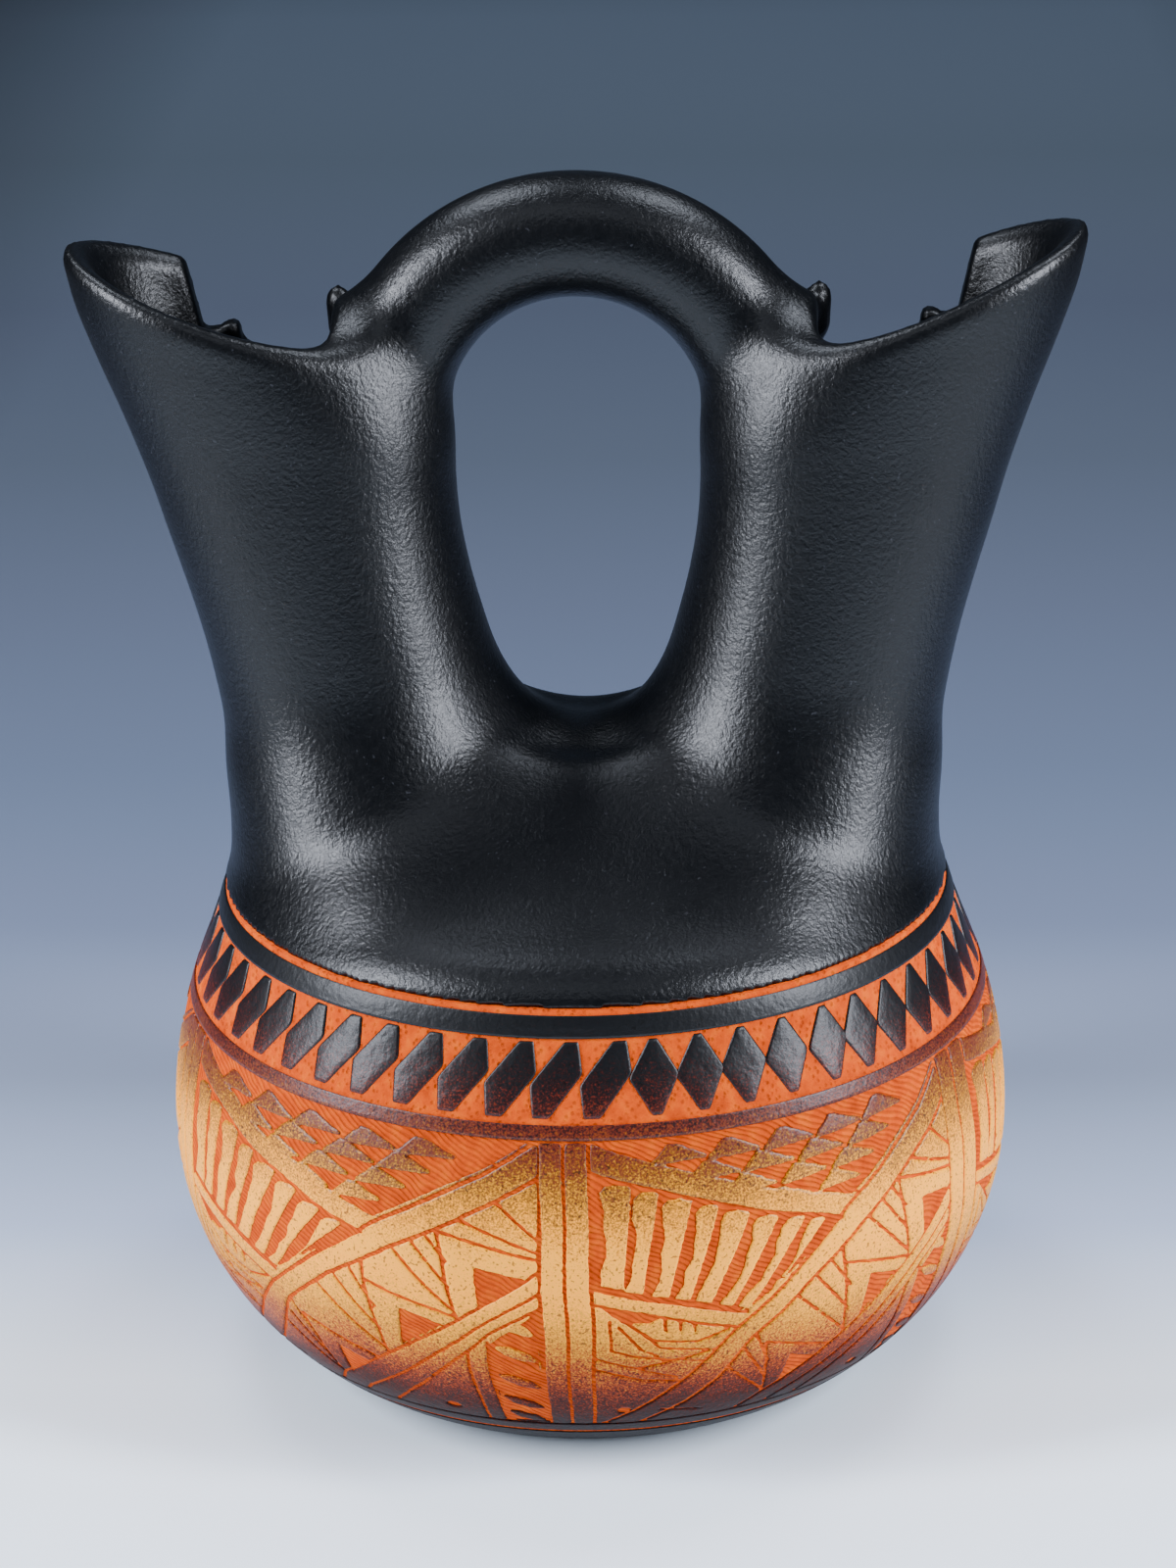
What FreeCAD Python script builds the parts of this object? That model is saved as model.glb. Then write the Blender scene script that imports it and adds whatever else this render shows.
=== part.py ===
"""Two-spouted pottery vase with a stirrup handle and stepped rims, in millimetres.

Frame: Z up, X along the row of the two spouts, Y from the front to the back.
The origin is the centre of the flat foot, on the surface that the vase stands on.
The vase is built as a potter lutes it together: a slab for the floor, two
coil-built courses for the bowl, a saddle that closes it, two necks, two
flaring spouts and an arched handle. Fired, they are one hollow vessel.
"""
import FreeCAD, Part
import Sketcher
import bisect
import math
import os

doc = FreeCAD.newDocument("two_spouted_vase")

# Driving dimensions of the vase. A rise, length, drop, inset or fall starts from the level
# or the reach that it follows, so the pieces stay stacked when one of them changes.
DIMENSIONS = (
    ("bowl_radius", 89.2),
    ("equator_height", 52.0),
    ("foot_radius", 57.0),
    ("floor_thickness", 9.0),
    ("wall_thickness", 6.0),
    ("girdle_inset", 8.0),
    ("girdle_rise", 39.3),
    ("shoulder_rise", 10.7),
    ("shoulder_lean", 16.0),
    ("dome_corner_radius", 18.0),
    ("dome_slope", 20.0),
    ("saddle_base_rise", 6.0),
    ("closing_drop", 4.0),
    ("closing_depth", 20.0),
    ("crotch_rise", 38.4),
    ("crotch_blend_height", 18.0),
    ("neck_root_rise", 9.6),
    ("neck_length", 46.0),
    ("neck_half_depth", 28.0),
    ("spout_overhang", 25.6),
    ("flare_length", 41.6),
    ("rim_tip_rise", 3.4),
    ("rim_fall", 16.4),
    ("rim_dip_inset", 51.0),
    ("rim_sag", 1.7),
    ("handle_seat_rise", 7.5),
    ("handle_path_share", 0.3777),
    ("handle_tube_radius", 12.6),
    ("handle_leg_length", 16.0),
    ("notch_inset", 29.2),
    ("notch_shelf_rise", 19.0),
    ("shelf_width", 7.0),
    ("shelf_drop", 11.0),
    ("notch_floor_width", 15.5),
    ("inner_shelf_rise", 5.0),
    ("inner_shelf_width", 5.0),
)

# Sizes that follow from the driving ones: levels, and centres, radii and ends of the arcs
DERIVED = (
    ("girdle_radius", "=bowl_radius - girdle_inset"),
    ("girdle_height", "=equator_height + girdle_rise"),
    ("shoulder_height", "=girdle_height + shoulder_rise"),
    ("saddle_base_height", "=shoulder_height + saddle_base_rise"),
    ("closing_height", "=saddle_base_height - closing_drop"),
    ("crotch_height", "=shoulder_height + crotch_rise"),
    ("neck_root_height", "=crotch_height + neck_root_rise"),
    ("collar_height", "=neck_root_height + neck_length"),
    ("flare_height", "=collar_height + flare_length"),
    ("rim_tip_height", "=flare_height + rim_tip_rise"),
    ("rim_dip_height", "=rim_tip_height - rim_fall"),
    ("notch_shelf_height", "=collar_height + notch_shelf_rise"),
    ("handle_centre_height", "=collar_height + handle_seat_rise"),
    ("lower_arc_centre",
     "=(foot_radius^2 + equator_height^2 - bowl_radius^2) / (2 * (foot_radius - bowl_radius))"),
    ("lower_arc_radius", "=bowl_radius - lower_arc_centre"),
    ("upper_arc_centre",
     "=(girdle_radius^2 + girdle_rise^2 - bowl_radius^2) / (2 * (girdle_radius - bowl_radius))"),
    ("upper_arc_radius", "=bowl_radius - upper_arc_centre"),
    ("girdle_cosine", "=(girdle_radius - upper_arc_centre) / upper_arc_radius"),
    ("girdle_sine", "=girdle_rise / upper_arc_radius"),
    ("waist_arc_radius", "=shoulder_rise / (girdle_sine - sin(shoulder_lean))"),
    ("shoulder_radius",
     "=girdle_radius - waist_arc_radius * (cos(shoulder_lean) - girdle_cosine)"),
    ("spout_reach", "=shoulder_radius + spout_overhang"),
    ("rim_dip_reach", "=spout_reach - rim_dip_inset"),
    ("notch_reach", "=spout_reach - notch_inset"),
    ("handle_path_radius", "=spout_reach * handle_path_share"),
    ("handle_top_height", "=handle_centre_height + handle_path_radius + handle_tube_radius"),
    ("waist_arc_centre", "=shoulder_radius + waist_arc_radius * cos(shoulder_lean)"),
    ("waist_arc_height", "=shoulder_height + waist_arc_radius * sin(shoulder_lean)"),
    ("dome_corner_centre", "=shoulder_radius - dome_corner_radius * cos(shoulder_lean)"),
    ("dome_corner_height", "=shoulder_height - dome_corner_radius * sin(shoulder_lean)"),
    ("dome_edge_radius", "=dome_corner_centre + dome_corner_radius * sin(dome_slope)"),
    ("dome_edge_height", "=dome_corner_height + dome_corner_radius * cos(dome_slope)"),
    ("dome_top_height", "=dome_edge_height + dome_edge_radius * tan(dome_slope)"),
    ("slab_radius",
     "=lower_arc_centre + sqrt(lower_arc_radius^2 - (equator_height - floor_thickness)^2)"),
    ("inner_lower_arc_radius", "=lower_arc_radius - wall_thickness"),
    ("inner_floor_radius",
     "=lower_arc_centre + sqrt(inner_lower_arc_radius^2 - (equator_height - floor_thickness)^2)"),
    ("inner_equator_radius", "=bowl_radius - wall_thickness"),
    ("inner_upper_arc_radius", "=upper_arc_radius - wall_thickness"),
    ("inner_girdle_radius", "=upper_arc_centre + inner_upper_arc_radius * girdle_cosine"),
    ("inner_girdle_height", "=equator_height + inner_upper_arc_radius * girdle_sine"),
    ("inner_waist_arc_radius", "=waist_arc_radius + wall_thickness"),
    ("inner_shoulder_radius", "=shoulder_radius - wall_thickness * cos(shoulder_lean)"),
    ("inner_shoulder_height", "=shoulder_height - wall_thickness * sin(shoulder_lean)"),
    ("inner_dome_corner_radius", "=dome_corner_radius - wall_thickness"),
    ("inner_dome_edge_radius", "=dome_edge_radius - wall_thickness * sin(dome_slope)"),
    ("inner_dome_edge_height", "=dome_edge_height - wall_thickness * cos(dome_slope)"),
    ("inner_dome_top_height",
     "=inner_dome_edge_height + inner_dome_edge_radius * tan(dome_slope)"),
)

# Silhouette of a neck and spout, chosen by hand from the saddle's base to the flare's end:
# height share, then shares of the spout's reach at the inner and outer side, then depth share
NECK_SHARES = (
    (0.00, -0.02, 0.712, 1.45),
    (0.10, 0.070, 0.695, 1.20),
    (0.17, 0.118, 0.695, 1.10),
    (0.25, 0.158, 0.706, 1.06),
    (0.33, 0.178, 0.737, 1.04),
    (0.41, 0.195, 0.764, 1.02),
    (0.49, 0.218, 0.792, 1.00),
    (0.57, 0.237, 0.822, 0.98),
    (0.65, 0.249, 0.851, 0.96),
    (0.71, 0.254, 0.876, 0.95),
    (0.77, 0.277, 0.902, 0.95),
    (0.83, 0.310, 0.930, 0.95),
    (0.88, 0.347, 0.953, 0.95),
    (0.93, 0.385, 0.975, 0.96),
    (1.00, 0.430, 0.994, 0.97),
)
# How much narrower a mouth is at its outer tip than at its inner end
TIP_TAPER_SHARE = 0.16
SECTION_POINT_COUNT = 40
FAN_OVAL_COUNT = 17
NECK_OVAL_COUNT = 6
SPOUT_OVAL_COUNT = 8

sheet = doc.addObject("Spreadsheet::Sheet", "sizes")
for row, (name, value) in enumerate(DIMENSIONS + DERIVED, start=1):
    sheet.set(f"A{row}", name)
    sheet.set(f"B{row}", str(value))
    sheet.setAlias(f"B{row}", name)
doc.recompute()


def size(name):
    """The value of a named size, in millimetres."""
    return float(getattr(sheet, name))


# Bowl, turned about the vase's axis

def sketch_value(expression):
    """The number that a corner's expression stands for: zero, or a named size."""
    return 0.0 if expression == "0" else size(expression)


def start_ends(sketch, points):
    """For each sketch edge, which of its ends, 1 or 2, lies at the corner where it starts."""
    ends = []
    for edge, corner in zip(sketch.Geometry, points):
        forward = edge.StartPoint.distanceToPoint(corner) <= edge.EndPoint.distanceToPoint(corner)
        ends.append(1 if forward else 2)
    return ends


def draw_edge(sketch, start, end, arc):
    """Add a straight edge, or the short arc round a centre (radius, height, arc radius)."""
    if arc is None:
        sketch.addGeometry(Part.LineSegment(start, end), False)
        return
    centre = FreeCAD.Vector(sketch_value(arc[0]), sketch_value(arc[1]), 0)
    circle = Part.Circle(centre, FreeCAD.Vector(0, 0, 1), sketch_value(arc[2]))
    angles = [math.atan2(corner.y - centre.y, corner.x - centre.x) for corner in (start, end)]
    if (angles[1] - angles[0]) % (2 * math.pi) > math.pi:
        angles.reverse()
    first, last = angles
    if last < first:
        last += 2 * math.pi
    sketch.addGeometry(Part.ArcOfCircle(circle, first, last), False)


def bind_sketch(sketch, corners, points, edges):
    """Join the edges end to end and bind every corner and every arc to the named sizes."""
    starts = start_ends(sketch, points)
    for index, start in enumerate(starts):
        following = (index + 1) % len(starts)
        sketch.addConstraint(Sketcher.Constraint(
            "Coincident", index, 3 - start, following, starts[following]))
    for index, (radius, height) in enumerate(corners):
        end = starts[index]
        for kind, axis, expression in (("DistanceX", -2, radius), ("DistanceY", -1, height)):
            if expression == "0":
                sketch.addConstraint(Sketcher.Constraint("PointOnObject", index, end, axis))
                continue
            number = sketch.addConstraint(Sketcher.Constraint(
                kind, -1, 1, index, end, sketch_value(expression)))
            sketch.setExpression(f"Constraints[{number}]", "sizes." + expression)
    for index, arc in enumerate(edges):
        if arc is not None:
            number = sketch.addConstraint(Sketcher.Constraint("Radius", index, size(arc[2])))
            sketch.setExpression(f"Constraints[{number}]", "sizes." + arc[2])


def turned_course(label, corners, edges):
    """One course of the bowl: a closed profile of corners and edges, turned a full circle."""
    body = doc.addObject("PartDesign::Body", label)
    body.Label = label
    sketch = body.newObject("Sketcher::SketchObject", label + "_profile")
    plane = [feature for feature in body.Origin.OriginFeatures if feature.Role == "XZ_Plane"][0]
    sketch.AttachmentSupport = [(plane, "")]
    sketch.MapMode = "FlatFace"
    points = [FreeCAD.Vector(sketch_value(radius), sketch_value(height), 0)
              for radius, height in corners]
    for index, arc in enumerate(edges):
        draw_edge(sketch, points[index], points[(index + 1) % len(points)], arc)
    bind_sketch(sketch, corners, points, edges)
    doc.recompute()
    turn = body.newObject("PartDesign::Revolution", label + "_turn")
    turn.Profile = sketch
    turn.ReferenceAxis = (sketch, ["V_Axis"])
    turn.Angle = 360
    doc.recompute()
    return body


LOWER_ARC = ("lower_arc_centre", "equator_height", "lower_arc_radius")
INNER_LOWER_ARC = ("lower_arc_centre", "equator_height", "inner_lower_arc_radius")
UPPER_ARC = ("upper_arc_centre", "equator_height", "upper_arc_radius")
INNER_UPPER_ARC = ("upper_arc_centre", "equator_height", "inner_upper_arc_radius")
WAIST_ARC = ("waist_arc_centre", "waist_arc_height", "waist_arc_radius")
INNER_WAIST_ARC = ("waist_arc_centre", "waist_arc_height", "inner_waist_arc_radius")
DOME_ARC = ("dome_corner_centre", "dome_corner_height", "dome_corner_radius")
INNER_DOME_ARC = ("dome_corner_centre", "dome_corner_height", "inner_dome_corner_radius")

base_slab = turned_course(
    "base_slab",
    (("0", "0"), ("foot_radius", "0"), ("slab_radius", "floor_thickness"),
     ("0", "floor_thickness")),
    (None, LOWER_ARC, None, None))

lower_bowl = turned_course(
    "lower_bowl",
    (("slab_radius", "floor_thickness"), ("bowl_radius", "equator_height"),
     ("inner_equator_radius", "equator_height"), ("inner_floor_radius", "floor_thickness")),
    (LOWER_ARC, None, INNER_LOWER_ARC, None))

upper_bowl = turned_course(
    "upper_bowl",
    (("bowl_radius", "equator_height"), ("girdle_radius", "girdle_height"),
     ("shoulder_radius", "shoulder_height"), ("inner_shoulder_radius", "inner_shoulder_height"),
     ("inner_girdle_radius", "inner_girdle_height"), ("inner_equator_radius", "equator_height")),
    (UPPER_ARC, WAIST_ARC, None, INNER_WAIST_ARC, INNER_UPPER_ARC, None))

dome = turned_course(
    "dome_stock",
    (("shoulder_radius", "shoulder_height"), ("dome_edge_radius", "dome_edge_height"),
     ("0", "dome_top_height"), ("0", "inner_dome_top_height"),
     ("inner_dome_edge_radius", "inner_dome_edge_height"),
     ("inner_shoulder_radius", "inner_shoulder_height")),
    (DOME_ARC, None, None, None, INNER_DOME_ARC, None))
dome_filled = turned_course(
    "dome_filled",
    (("shoulder_radius", "shoulder_height"), ("dome_edge_radius", "dome_edge_height"),
     ("0", "dome_top_height"), ("0", "equator_height"), ("bowl_radius", "equator_height"),
     ("girdle_radius", "girdle_height")),
    (DOME_ARC, None, None, None, UPPER_ARC, WAIST_ARC))


# Free form of the saddle, necks and spouts.
# Front and back are alike, so the form is one function: the square of the half depth at (x, z).

def along(curve, place, column):
    """A smooth curve through one column of the neck's stations."""
    places = [station[0] for station in curve]
    values = [station[column] for station in curve]
    last = len(places) - 1
    index = min(max(bisect.bisect_right(places, place) - 1, 0), last - 1)

    def slope(at):
        before = max(at - 1, 0)
        after = min(at + 1, last)
        return (values[after] - values[before]) / (places[after] - places[before])

    span = places[index + 1] - places[index]
    share = (place - places[index]) / span
    if share < 0 or share > 1:
        edge = 0 if share < 0 else last
        return values[edge] + slope(edge) * (place - places[edge])
    rise = values[index + 1] - values[index]
    start_slope = slope(index) * span
    end_slope = slope(index + 1) * span
    return (values[index] + share * start_slope
            + share ** 2 * (3 * rise - 2 * start_slope - end_slope)
            + share ** 3 * (start_slope + end_slope - 2 * rise))


def eased(share):
    """A share from 0 to 1 that starts and ends gently."""
    share = min(max(share, 0), 1)
    return share ** 2 * (3 - 2 * share)


def soft_union(one, other, blend):
    """The larger of two forms, with a soft join where they are alike."""
    return (one + other + math.hypot(one - other, blend)) / 2


def neck_form(x, z, inset):
    """Square of the half depth of the neck on the +X side alone, its walls moved in by the inset."""
    run = size("flare_height") - size("saddle_base_height")
    place = (z - size("saddle_base_height")) / run
    inner = along(NECK_SHARES, place, 1) * size("spout_reach") + inset
    outer = along(NECK_SHARES, place, 2) * size("spout_reach") - inset
    depth = along(NECK_SHARES, place, 3) * size("neck_half_depth") - inset
    across = (2 * x - inner - outer) / (outer - inner)
    taper = 1 - TIP_TAPER_SHARE * min(max(place, 0), 1) * min(max(across, -1), 1)
    return depth ** 2 * (1 - across ** 2) * taper


# Strength of the soft join of the two necks that puts their ridge at crotch_height
CROTCH_STRENGTH = -2 * neck_form(0, size("crotch_height"), 0)


def crotch_blend(z):
    """Strength of the soft join of the two necks, which fades out above the ridge."""
    share = (z - size("crotch_height")) / size("crotch_blend_height")
    return CROTCH_STRENGTH * (1 - eased(share))


def vase_form(x, z, inset):
    """Square of the half depth of the two necks, softly joined and rounded off below."""
    necks = soft_union(neck_form(x, z, inset), neck_form(-x, z, inset), crotch_blend(z))
    below = max(size("closing_height") - z, 0) / size("closing_depth")
    return necks - (size("neck_half_depth") * below) ** 2 * 4


def oval(height, angle, inset):
    """The closed outline of the form on a half plane that starts on the Y line at this height
    and leans up by the angle. Its points are spaced round the outline."""
    lean = math.radians(angle)

    def form(distance):
        return vase_form(distance * math.cos(lean), height + distance * math.sin(lean), inset)

    reach = 2 * size("spout_reach")
    tries = [reach * step / 80 for step in range(81)]
    inside = max(tries, key=form)

    def edge(outside):
        near, far = inside, outside
        for _ in range(50):
            middle = (near + far) / 2
            if form(middle) > 0:
                near = middle
            else:
                far = middle
        return near

    first = edge(0)
    last = edge(reach)
    points = []
    for step in range(SECTION_POINT_COUNT):
        turn = 2 * math.pi * step / SECTION_POINT_COUNT
        distance = (first + last) / 2 + (last - first) / 2 * math.cos(turn)
        depth = math.sqrt(max(form(distance), 0)) * math.copysign(1, math.sin(turn))
        if step in (0, SECTION_POINT_COUNT // 2):
            depth = 0
        points.append(FreeCAD.Vector(
            distance * math.cos(lean), depth, height + distance * math.sin(lean)))
    curve = Part.BSplineCurve()
    curve.interpolate(Points=points, PeriodicFlag=True, Parameters=evenly(0, 1, SECTION_POINT_COUNT + 1))
    return curve


def evenly(first, last, count):
    """Evenly spaced values from first to last."""
    return [first + (last - first) * step / (count - 1) for step in range(count)]


def skinned_solid(ovals):
    """A solid whose side runs smoothly through the ovals, closed flat by the first and last."""
    along_skin = evenly(0, 1, len(ovals))
    ribs = []
    for pole in range(1, ovals[0].NbPoles + 1):
        rib = Part.BSplineCurve()
        rib.interpolate(Points=[each.getPole(pole) for each in ovals], Parameters=along_skin)
        ribs.append(rib)
    surface = Part.BSplineSurface()
    surface.buildFromPolesMultsKnots(
        [rib.getPoles() for rib in ribs],
        ovals[0].getMultiplicities(), ribs[0].getMultiplicities(),
        ovals[0].getKnots(), ribs[0].getKnots(),
        True, False, ovals[0].Degree, ribs[0].Degree)
    caps = [Part.Face(Part.Wire([end.toShape()])) for end in (ovals[0], ovals[-1])]
    shell = Part.makeShell([surface.toShape()] + caps)
    shell.sewShape()
    return Part.Solid(shell)


def fan_solid(inset):
    """Saddle stock: ovals fanned from one neck's root, under the ridge, to the other's."""
    return skinned_solid([oval(size("neck_root_height"), angle, inset)
                          for angle in evenly(0, -180, FAN_OVAL_COUNT)])


def tube_solid(bottom, top, sections, inset):
    """Neck or spout stock: level ovals stacked from bottom to top, on the +X side."""
    return skinned_solid([oval(height, 0, inset) for height in evenly(bottom, top, sections)])


def free_form(label, shape):
    """A document object that holds a free-form shape."""
    feature = doc.addObject("Part::Feature", label)
    feature.Label = label
    feature.Shape = shape
    return feature


def mirrored(label, source):
    """The -X twin of a piece."""
    feature = doc.addObject("Part::Mirroring", label)
    feature.Label = label
    feature.Source = source
    feature.Normal = FreeCAD.Vector(1, 0, 0)
    return feature


def cut_piece(label, base, tool):
    """A document object that is one shape less another."""
    cut = doc.addObject("Part::Cut", label)
    cut.Label = label
    cut.Base = base
    cut.Tool = tool
    return cut


def front_prism(outline):
    """A solid with this outline of (x, z) corners, deeper than the vase both ways."""
    half = size("bowl_radius")
    corners = [FreeCAD.Vector(x, -half, z) for x, z in outline]
    face = Part.Face(Part.makePolygon(corners + corners[:1]))
    return face.extrude(FreeCAD.Vector(0, 2 * half, 0))


# Shoulder course and saddle: the dome is opened where the necks' bores run down into it
reach = 2 * size("spout_reach")
bore = free_form("saddle_bore", fan_solid(size("wall_thickness")))
stock = free_form("saddle_stock", fan_solid(0))
shoulder_course = cut_piece("shoulder_course", dome, bore)
hollow_saddle = cut_piece("hollow_saddle", stock, bore)
saddle = cut_piece("saddle", hollow_saddle, dome_filled)

# Necks
root = size("neck_root_height")
collar = size("collar_height")
neck_outer = tube_solid(root, collar, NECK_OVAL_COUNT, 0)
neck_bore = tube_solid(root, collar, NECK_OVAL_COUNT, size("wall_thickness"))
right_neck = free_form("right_neck", neck_outer.cut(neck_bore))
left_neck = mirrored("left_neck", right_neck)

# Spouts: a flaring tube, cut off along the rim's curve, with a stepped notch in its back wall
rim_run = size("spout_reach") - size("rim_dip_reach")
rim_slope = (size("rim_tip_height") - size("rim_dip_height")) / rim_run


def rim_height(x):
    """Height of the rim at this distance from the vase's axis: a chord that sags a little."""
    share = (x - size("rim_dip_reach")) / rim_run
    chord = size("rim_dip_height") + rim_slope * rim_run * share
    return chord - 4 * size("rim_sag") * share * (1 - share)


def under_rim(far):
    """A solid under the rim's curve, from the vase's middle out to the far side."""
    half = size("bowl_radius")
    start = rim_height(0)
    end = rim_height(far)
    pull = 2 * rim_height(far / 2) - (start + end) / 2
    curve = Part.BezierCurve()
    curve.setPoles([FreeCAD.Vector(x, -half, z)
                    for x, z in ((0, start), (far / 2, pull), (far, end))])
    sides = Part.makePolygon([FreeCAD.Vector(x, -half, z)
                              for x, z in ((far, end), (far, 0), (0, 0), (0, start))])
    face = Part.Face(Part.Wire([curve.toShape()] + sides.Edges))
    return face.extrude(FreeCAD.Vector(0, 2 * half, 0))


stock_top = size("handle_top_height")
below_rim = under_rim(size("spout_reach") + size("neck_half_depth"))
spout_bore = tube_solid(collar, stock_top, SPOUT_OVAL_COUNT, size("wall_thickness"))
spout_core = tube_solid(collar, stock_top, SPOUT_OVAL_COUNT, 0).common(below_rim)


def notch_outline():
    """Corners of the stepped notch: from the outer tip's side down a step to the notch's
    floor and up a step to the handle's side. Its edges lean outwards with the spout."""
    lean = rim_slope
    x = size("notch_reach")
    z = size("notch_shelf_height")
    over = size("handle_top_height") - z
    corners = [(x + lean * over, z + over), (x, z)]
    # Each move is a step along the leaning level or up the leaning post
    moves = ((-size("shelf_width"), 0), (0, -size("shelf_drop")),
             (-size("notch_floor_width"), 0), (0, size("inner_shelf_rise")),
             (-size("inner_shelf_width"), 0), (0, over))
    for level, post in moves:
        x += level + lean * post
        z += post + lean * level
        corners.append((x, z))
    return corners


behind = Part.makeBox(2 * reach, size("bowl_radius"), stock_top, FreeCAD.Vector(-reach, 0, 0))
notch = front_prism(notch_outline()).common(behind)
right_spout = free_form("right_spout", spout_core.cut(spout_bore).cut(notch))
left_spout = mirrored("left_spout", right_spout)

# Handle: a round bar arched over two straight legs, fitted to the inner sides of the spouts
arch = doc.addObject("Part::Torus", "handle_arch")
arch.setExpression("Radius1", "sizes.handle_path_radius")
arch.setExpression("Radius2", "sizes.handle_tube_radius")
arch.Angle3 = 180
arch.Placement.Rotation = FreeCAD.Rotation(FreeCAD.Vector(1, 0, 0), 90)
arch.setExpression("Placement.Base.z", "sizes.handle_centre_height")
legs = []
for side, sign in (("left", "-"), ("right", "")):
    leg = doc.addObject("Part::Cylinder", side + "_handle_leg")
    leg.setExpression("Radius", "sizes.handle_tube_radius")
    leg.setExpression("Height", "sizes.handle_leg_length")
    leg.setExpression("Placement.Base.x", sign + "sizes.handle_path_radius")
    leg.setExpression("Placement.Base.z", "sizes.handle_centre_height - sizes.handle_leg_length")
    legs.append(leg)
bar = doc.addObject("Part::MultiFuse", "handle_bar")
bar.Shapes = [arch] + legs

right_core = spout_core.fuse([spout_bore, neck_outer])
left_core = right_core.mirror(FreeCAD.Vector(0, 0, 0), FreeCAD.Vector(1, 0, 0))
seats = free_form("handle_seats", Part.makeCompound([right_core, left_core]))
stirrup_handle = cut_piece("stirrup_handle", bar, seats)
doc.recompute()

PIECES = (base_slab, lower_bowl, upper_bowl, shoulder_course, saddle, left_neck, right_neck,
          left_spout, right_spout, stirrup_handle)

# Checks before anything is written
for item in doc.Objects:
    if "Invalid" in item.State or "Error" in item.State:
        raise RuntimeError(f"{item.Label} did not recompute: {item.State}")
for piece in PIECES:
    shape = piece.Shape
    if shape.isNull() or not shape.isValid():
        raise RuntimeError(f"{piece.Label} is not a valid solid")
    if len(shape.Solids) != 1 or shape.Volume <= 0:
        raise RuntimeError(f"{piece.Label} holds {len(shape.Solids)} solids")
    box = shape.BoundBox
    print(f"{piece.Label}: {shape.Volume / 1000:.1f} cm3, "
          f"x {box.XMin:.1f} to {box.XMax:.1f}, y {box.YMin:.1f} to {box.YMax:.1f}, "
          f"z {box.ZMin:.1f} to {box.ZMax:.1f}")

os.makedirs("parts", exist_ok=True)
for piece in PIECES:
    piece.Shape.exportStep(f"parts/{piece.Label}.step")
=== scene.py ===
# %% [markdown]
# # A double-spouted pottery vase
# A round bowl carries two leaning necks with flaring mouths, and a round bar arches between
# them. The upper body wears satin black slip. The bowl wears a sprayed slip, gold at its
# widest and dark above and below, and a geometric pattern is cut through it to orange clay.

# %% Set up
import bpy
import math
import numpy as np
from mathutils import Matrix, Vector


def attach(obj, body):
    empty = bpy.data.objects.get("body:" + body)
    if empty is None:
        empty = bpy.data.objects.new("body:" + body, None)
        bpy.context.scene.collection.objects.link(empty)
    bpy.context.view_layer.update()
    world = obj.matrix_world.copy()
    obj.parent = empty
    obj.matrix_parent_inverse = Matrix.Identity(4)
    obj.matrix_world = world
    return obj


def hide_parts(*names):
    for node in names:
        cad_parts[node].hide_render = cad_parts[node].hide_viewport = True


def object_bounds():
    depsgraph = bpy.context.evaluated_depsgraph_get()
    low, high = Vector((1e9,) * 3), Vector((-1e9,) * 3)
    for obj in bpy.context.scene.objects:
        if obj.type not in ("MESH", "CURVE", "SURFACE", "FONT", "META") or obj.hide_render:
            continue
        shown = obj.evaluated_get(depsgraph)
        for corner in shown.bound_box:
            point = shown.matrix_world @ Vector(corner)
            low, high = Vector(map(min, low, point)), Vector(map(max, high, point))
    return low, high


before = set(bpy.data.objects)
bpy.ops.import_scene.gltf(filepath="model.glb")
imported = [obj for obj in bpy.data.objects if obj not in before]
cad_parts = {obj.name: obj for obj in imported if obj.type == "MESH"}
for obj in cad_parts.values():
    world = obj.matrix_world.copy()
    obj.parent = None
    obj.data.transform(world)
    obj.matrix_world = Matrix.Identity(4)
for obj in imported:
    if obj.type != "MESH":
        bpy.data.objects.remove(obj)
MM = 0.001
cad_box = [list(corner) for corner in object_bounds()]
print("nodes:", sorted(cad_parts))

# %% [markdown]
# ## Colours, scales and nodes
# Colours are picked as screen colours, so one function turns them into linear light. A
# pattern's scale counts cells per metre, so one more works it out from a size that can be
# measured on the vase. A third adds any node, with its settings, its values and its links.


# %% Colour, scale and node
def linear(hex_colour):
    """A screen colour such as #aa5522 as linear light with full alpha."""
    parts = [int(hex_colour[i:i + 2], 16) / 255 for i in (1, 3, 5)]
    return tuple(c / 12.92 if c <= 0.04045 else ((c + 0.055) / 1.055) ** 2.4 for c in parts) + (1.0,)


def cells_of(size):
    """The scale of a pattern whose cells are this many millimetres wide."""
    return 1 / (size * MM)


def node(tree, kind, at, sockets=(), stops=(), **settings):
    """Add one node. A socket, by name or number, gets a value or a link from another node.
    Stops are the places and colours of a ramp."""
    made = tree.nodes.new(kind)
    made.location = (at[0] * 200, at[1] * 160)
    for name, value in settings.items():
        setattr(made, name, value)
    for socket, value in dict(sockets).items():
        if isinstance(value, bpy.types.NodeSocket):
            tree.links.new(value, made.inputs[socket])
        else:
            made.inputs[socket].default_value = value
    if stops:
        elements = made.color_ramp.elements
        elements[0].position, elements[0].color = stops[0]
        elements[1].position, elements[1].color = stops[-1]
        for place, colour in stops[1:-1]:
            elements.new(place).color = colour
    return made


print("a 2 mm pattern has", round(cells_of(2.0)), "cells per metre")

# %% [markdown]
# ## Pieces
# Every piece is worked out as points and faces in millimetres, in its own place on the
# vase. Its object stays at the origin, so patterns and seams line up from piece to piece.


# %% A piece from points
def eased(value):
    """A share held between 0 and 1 that starts and ends gently."""
    value = np.clip(value, 0, 1)
    return value * value * (3 - 2 * value)


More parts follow.
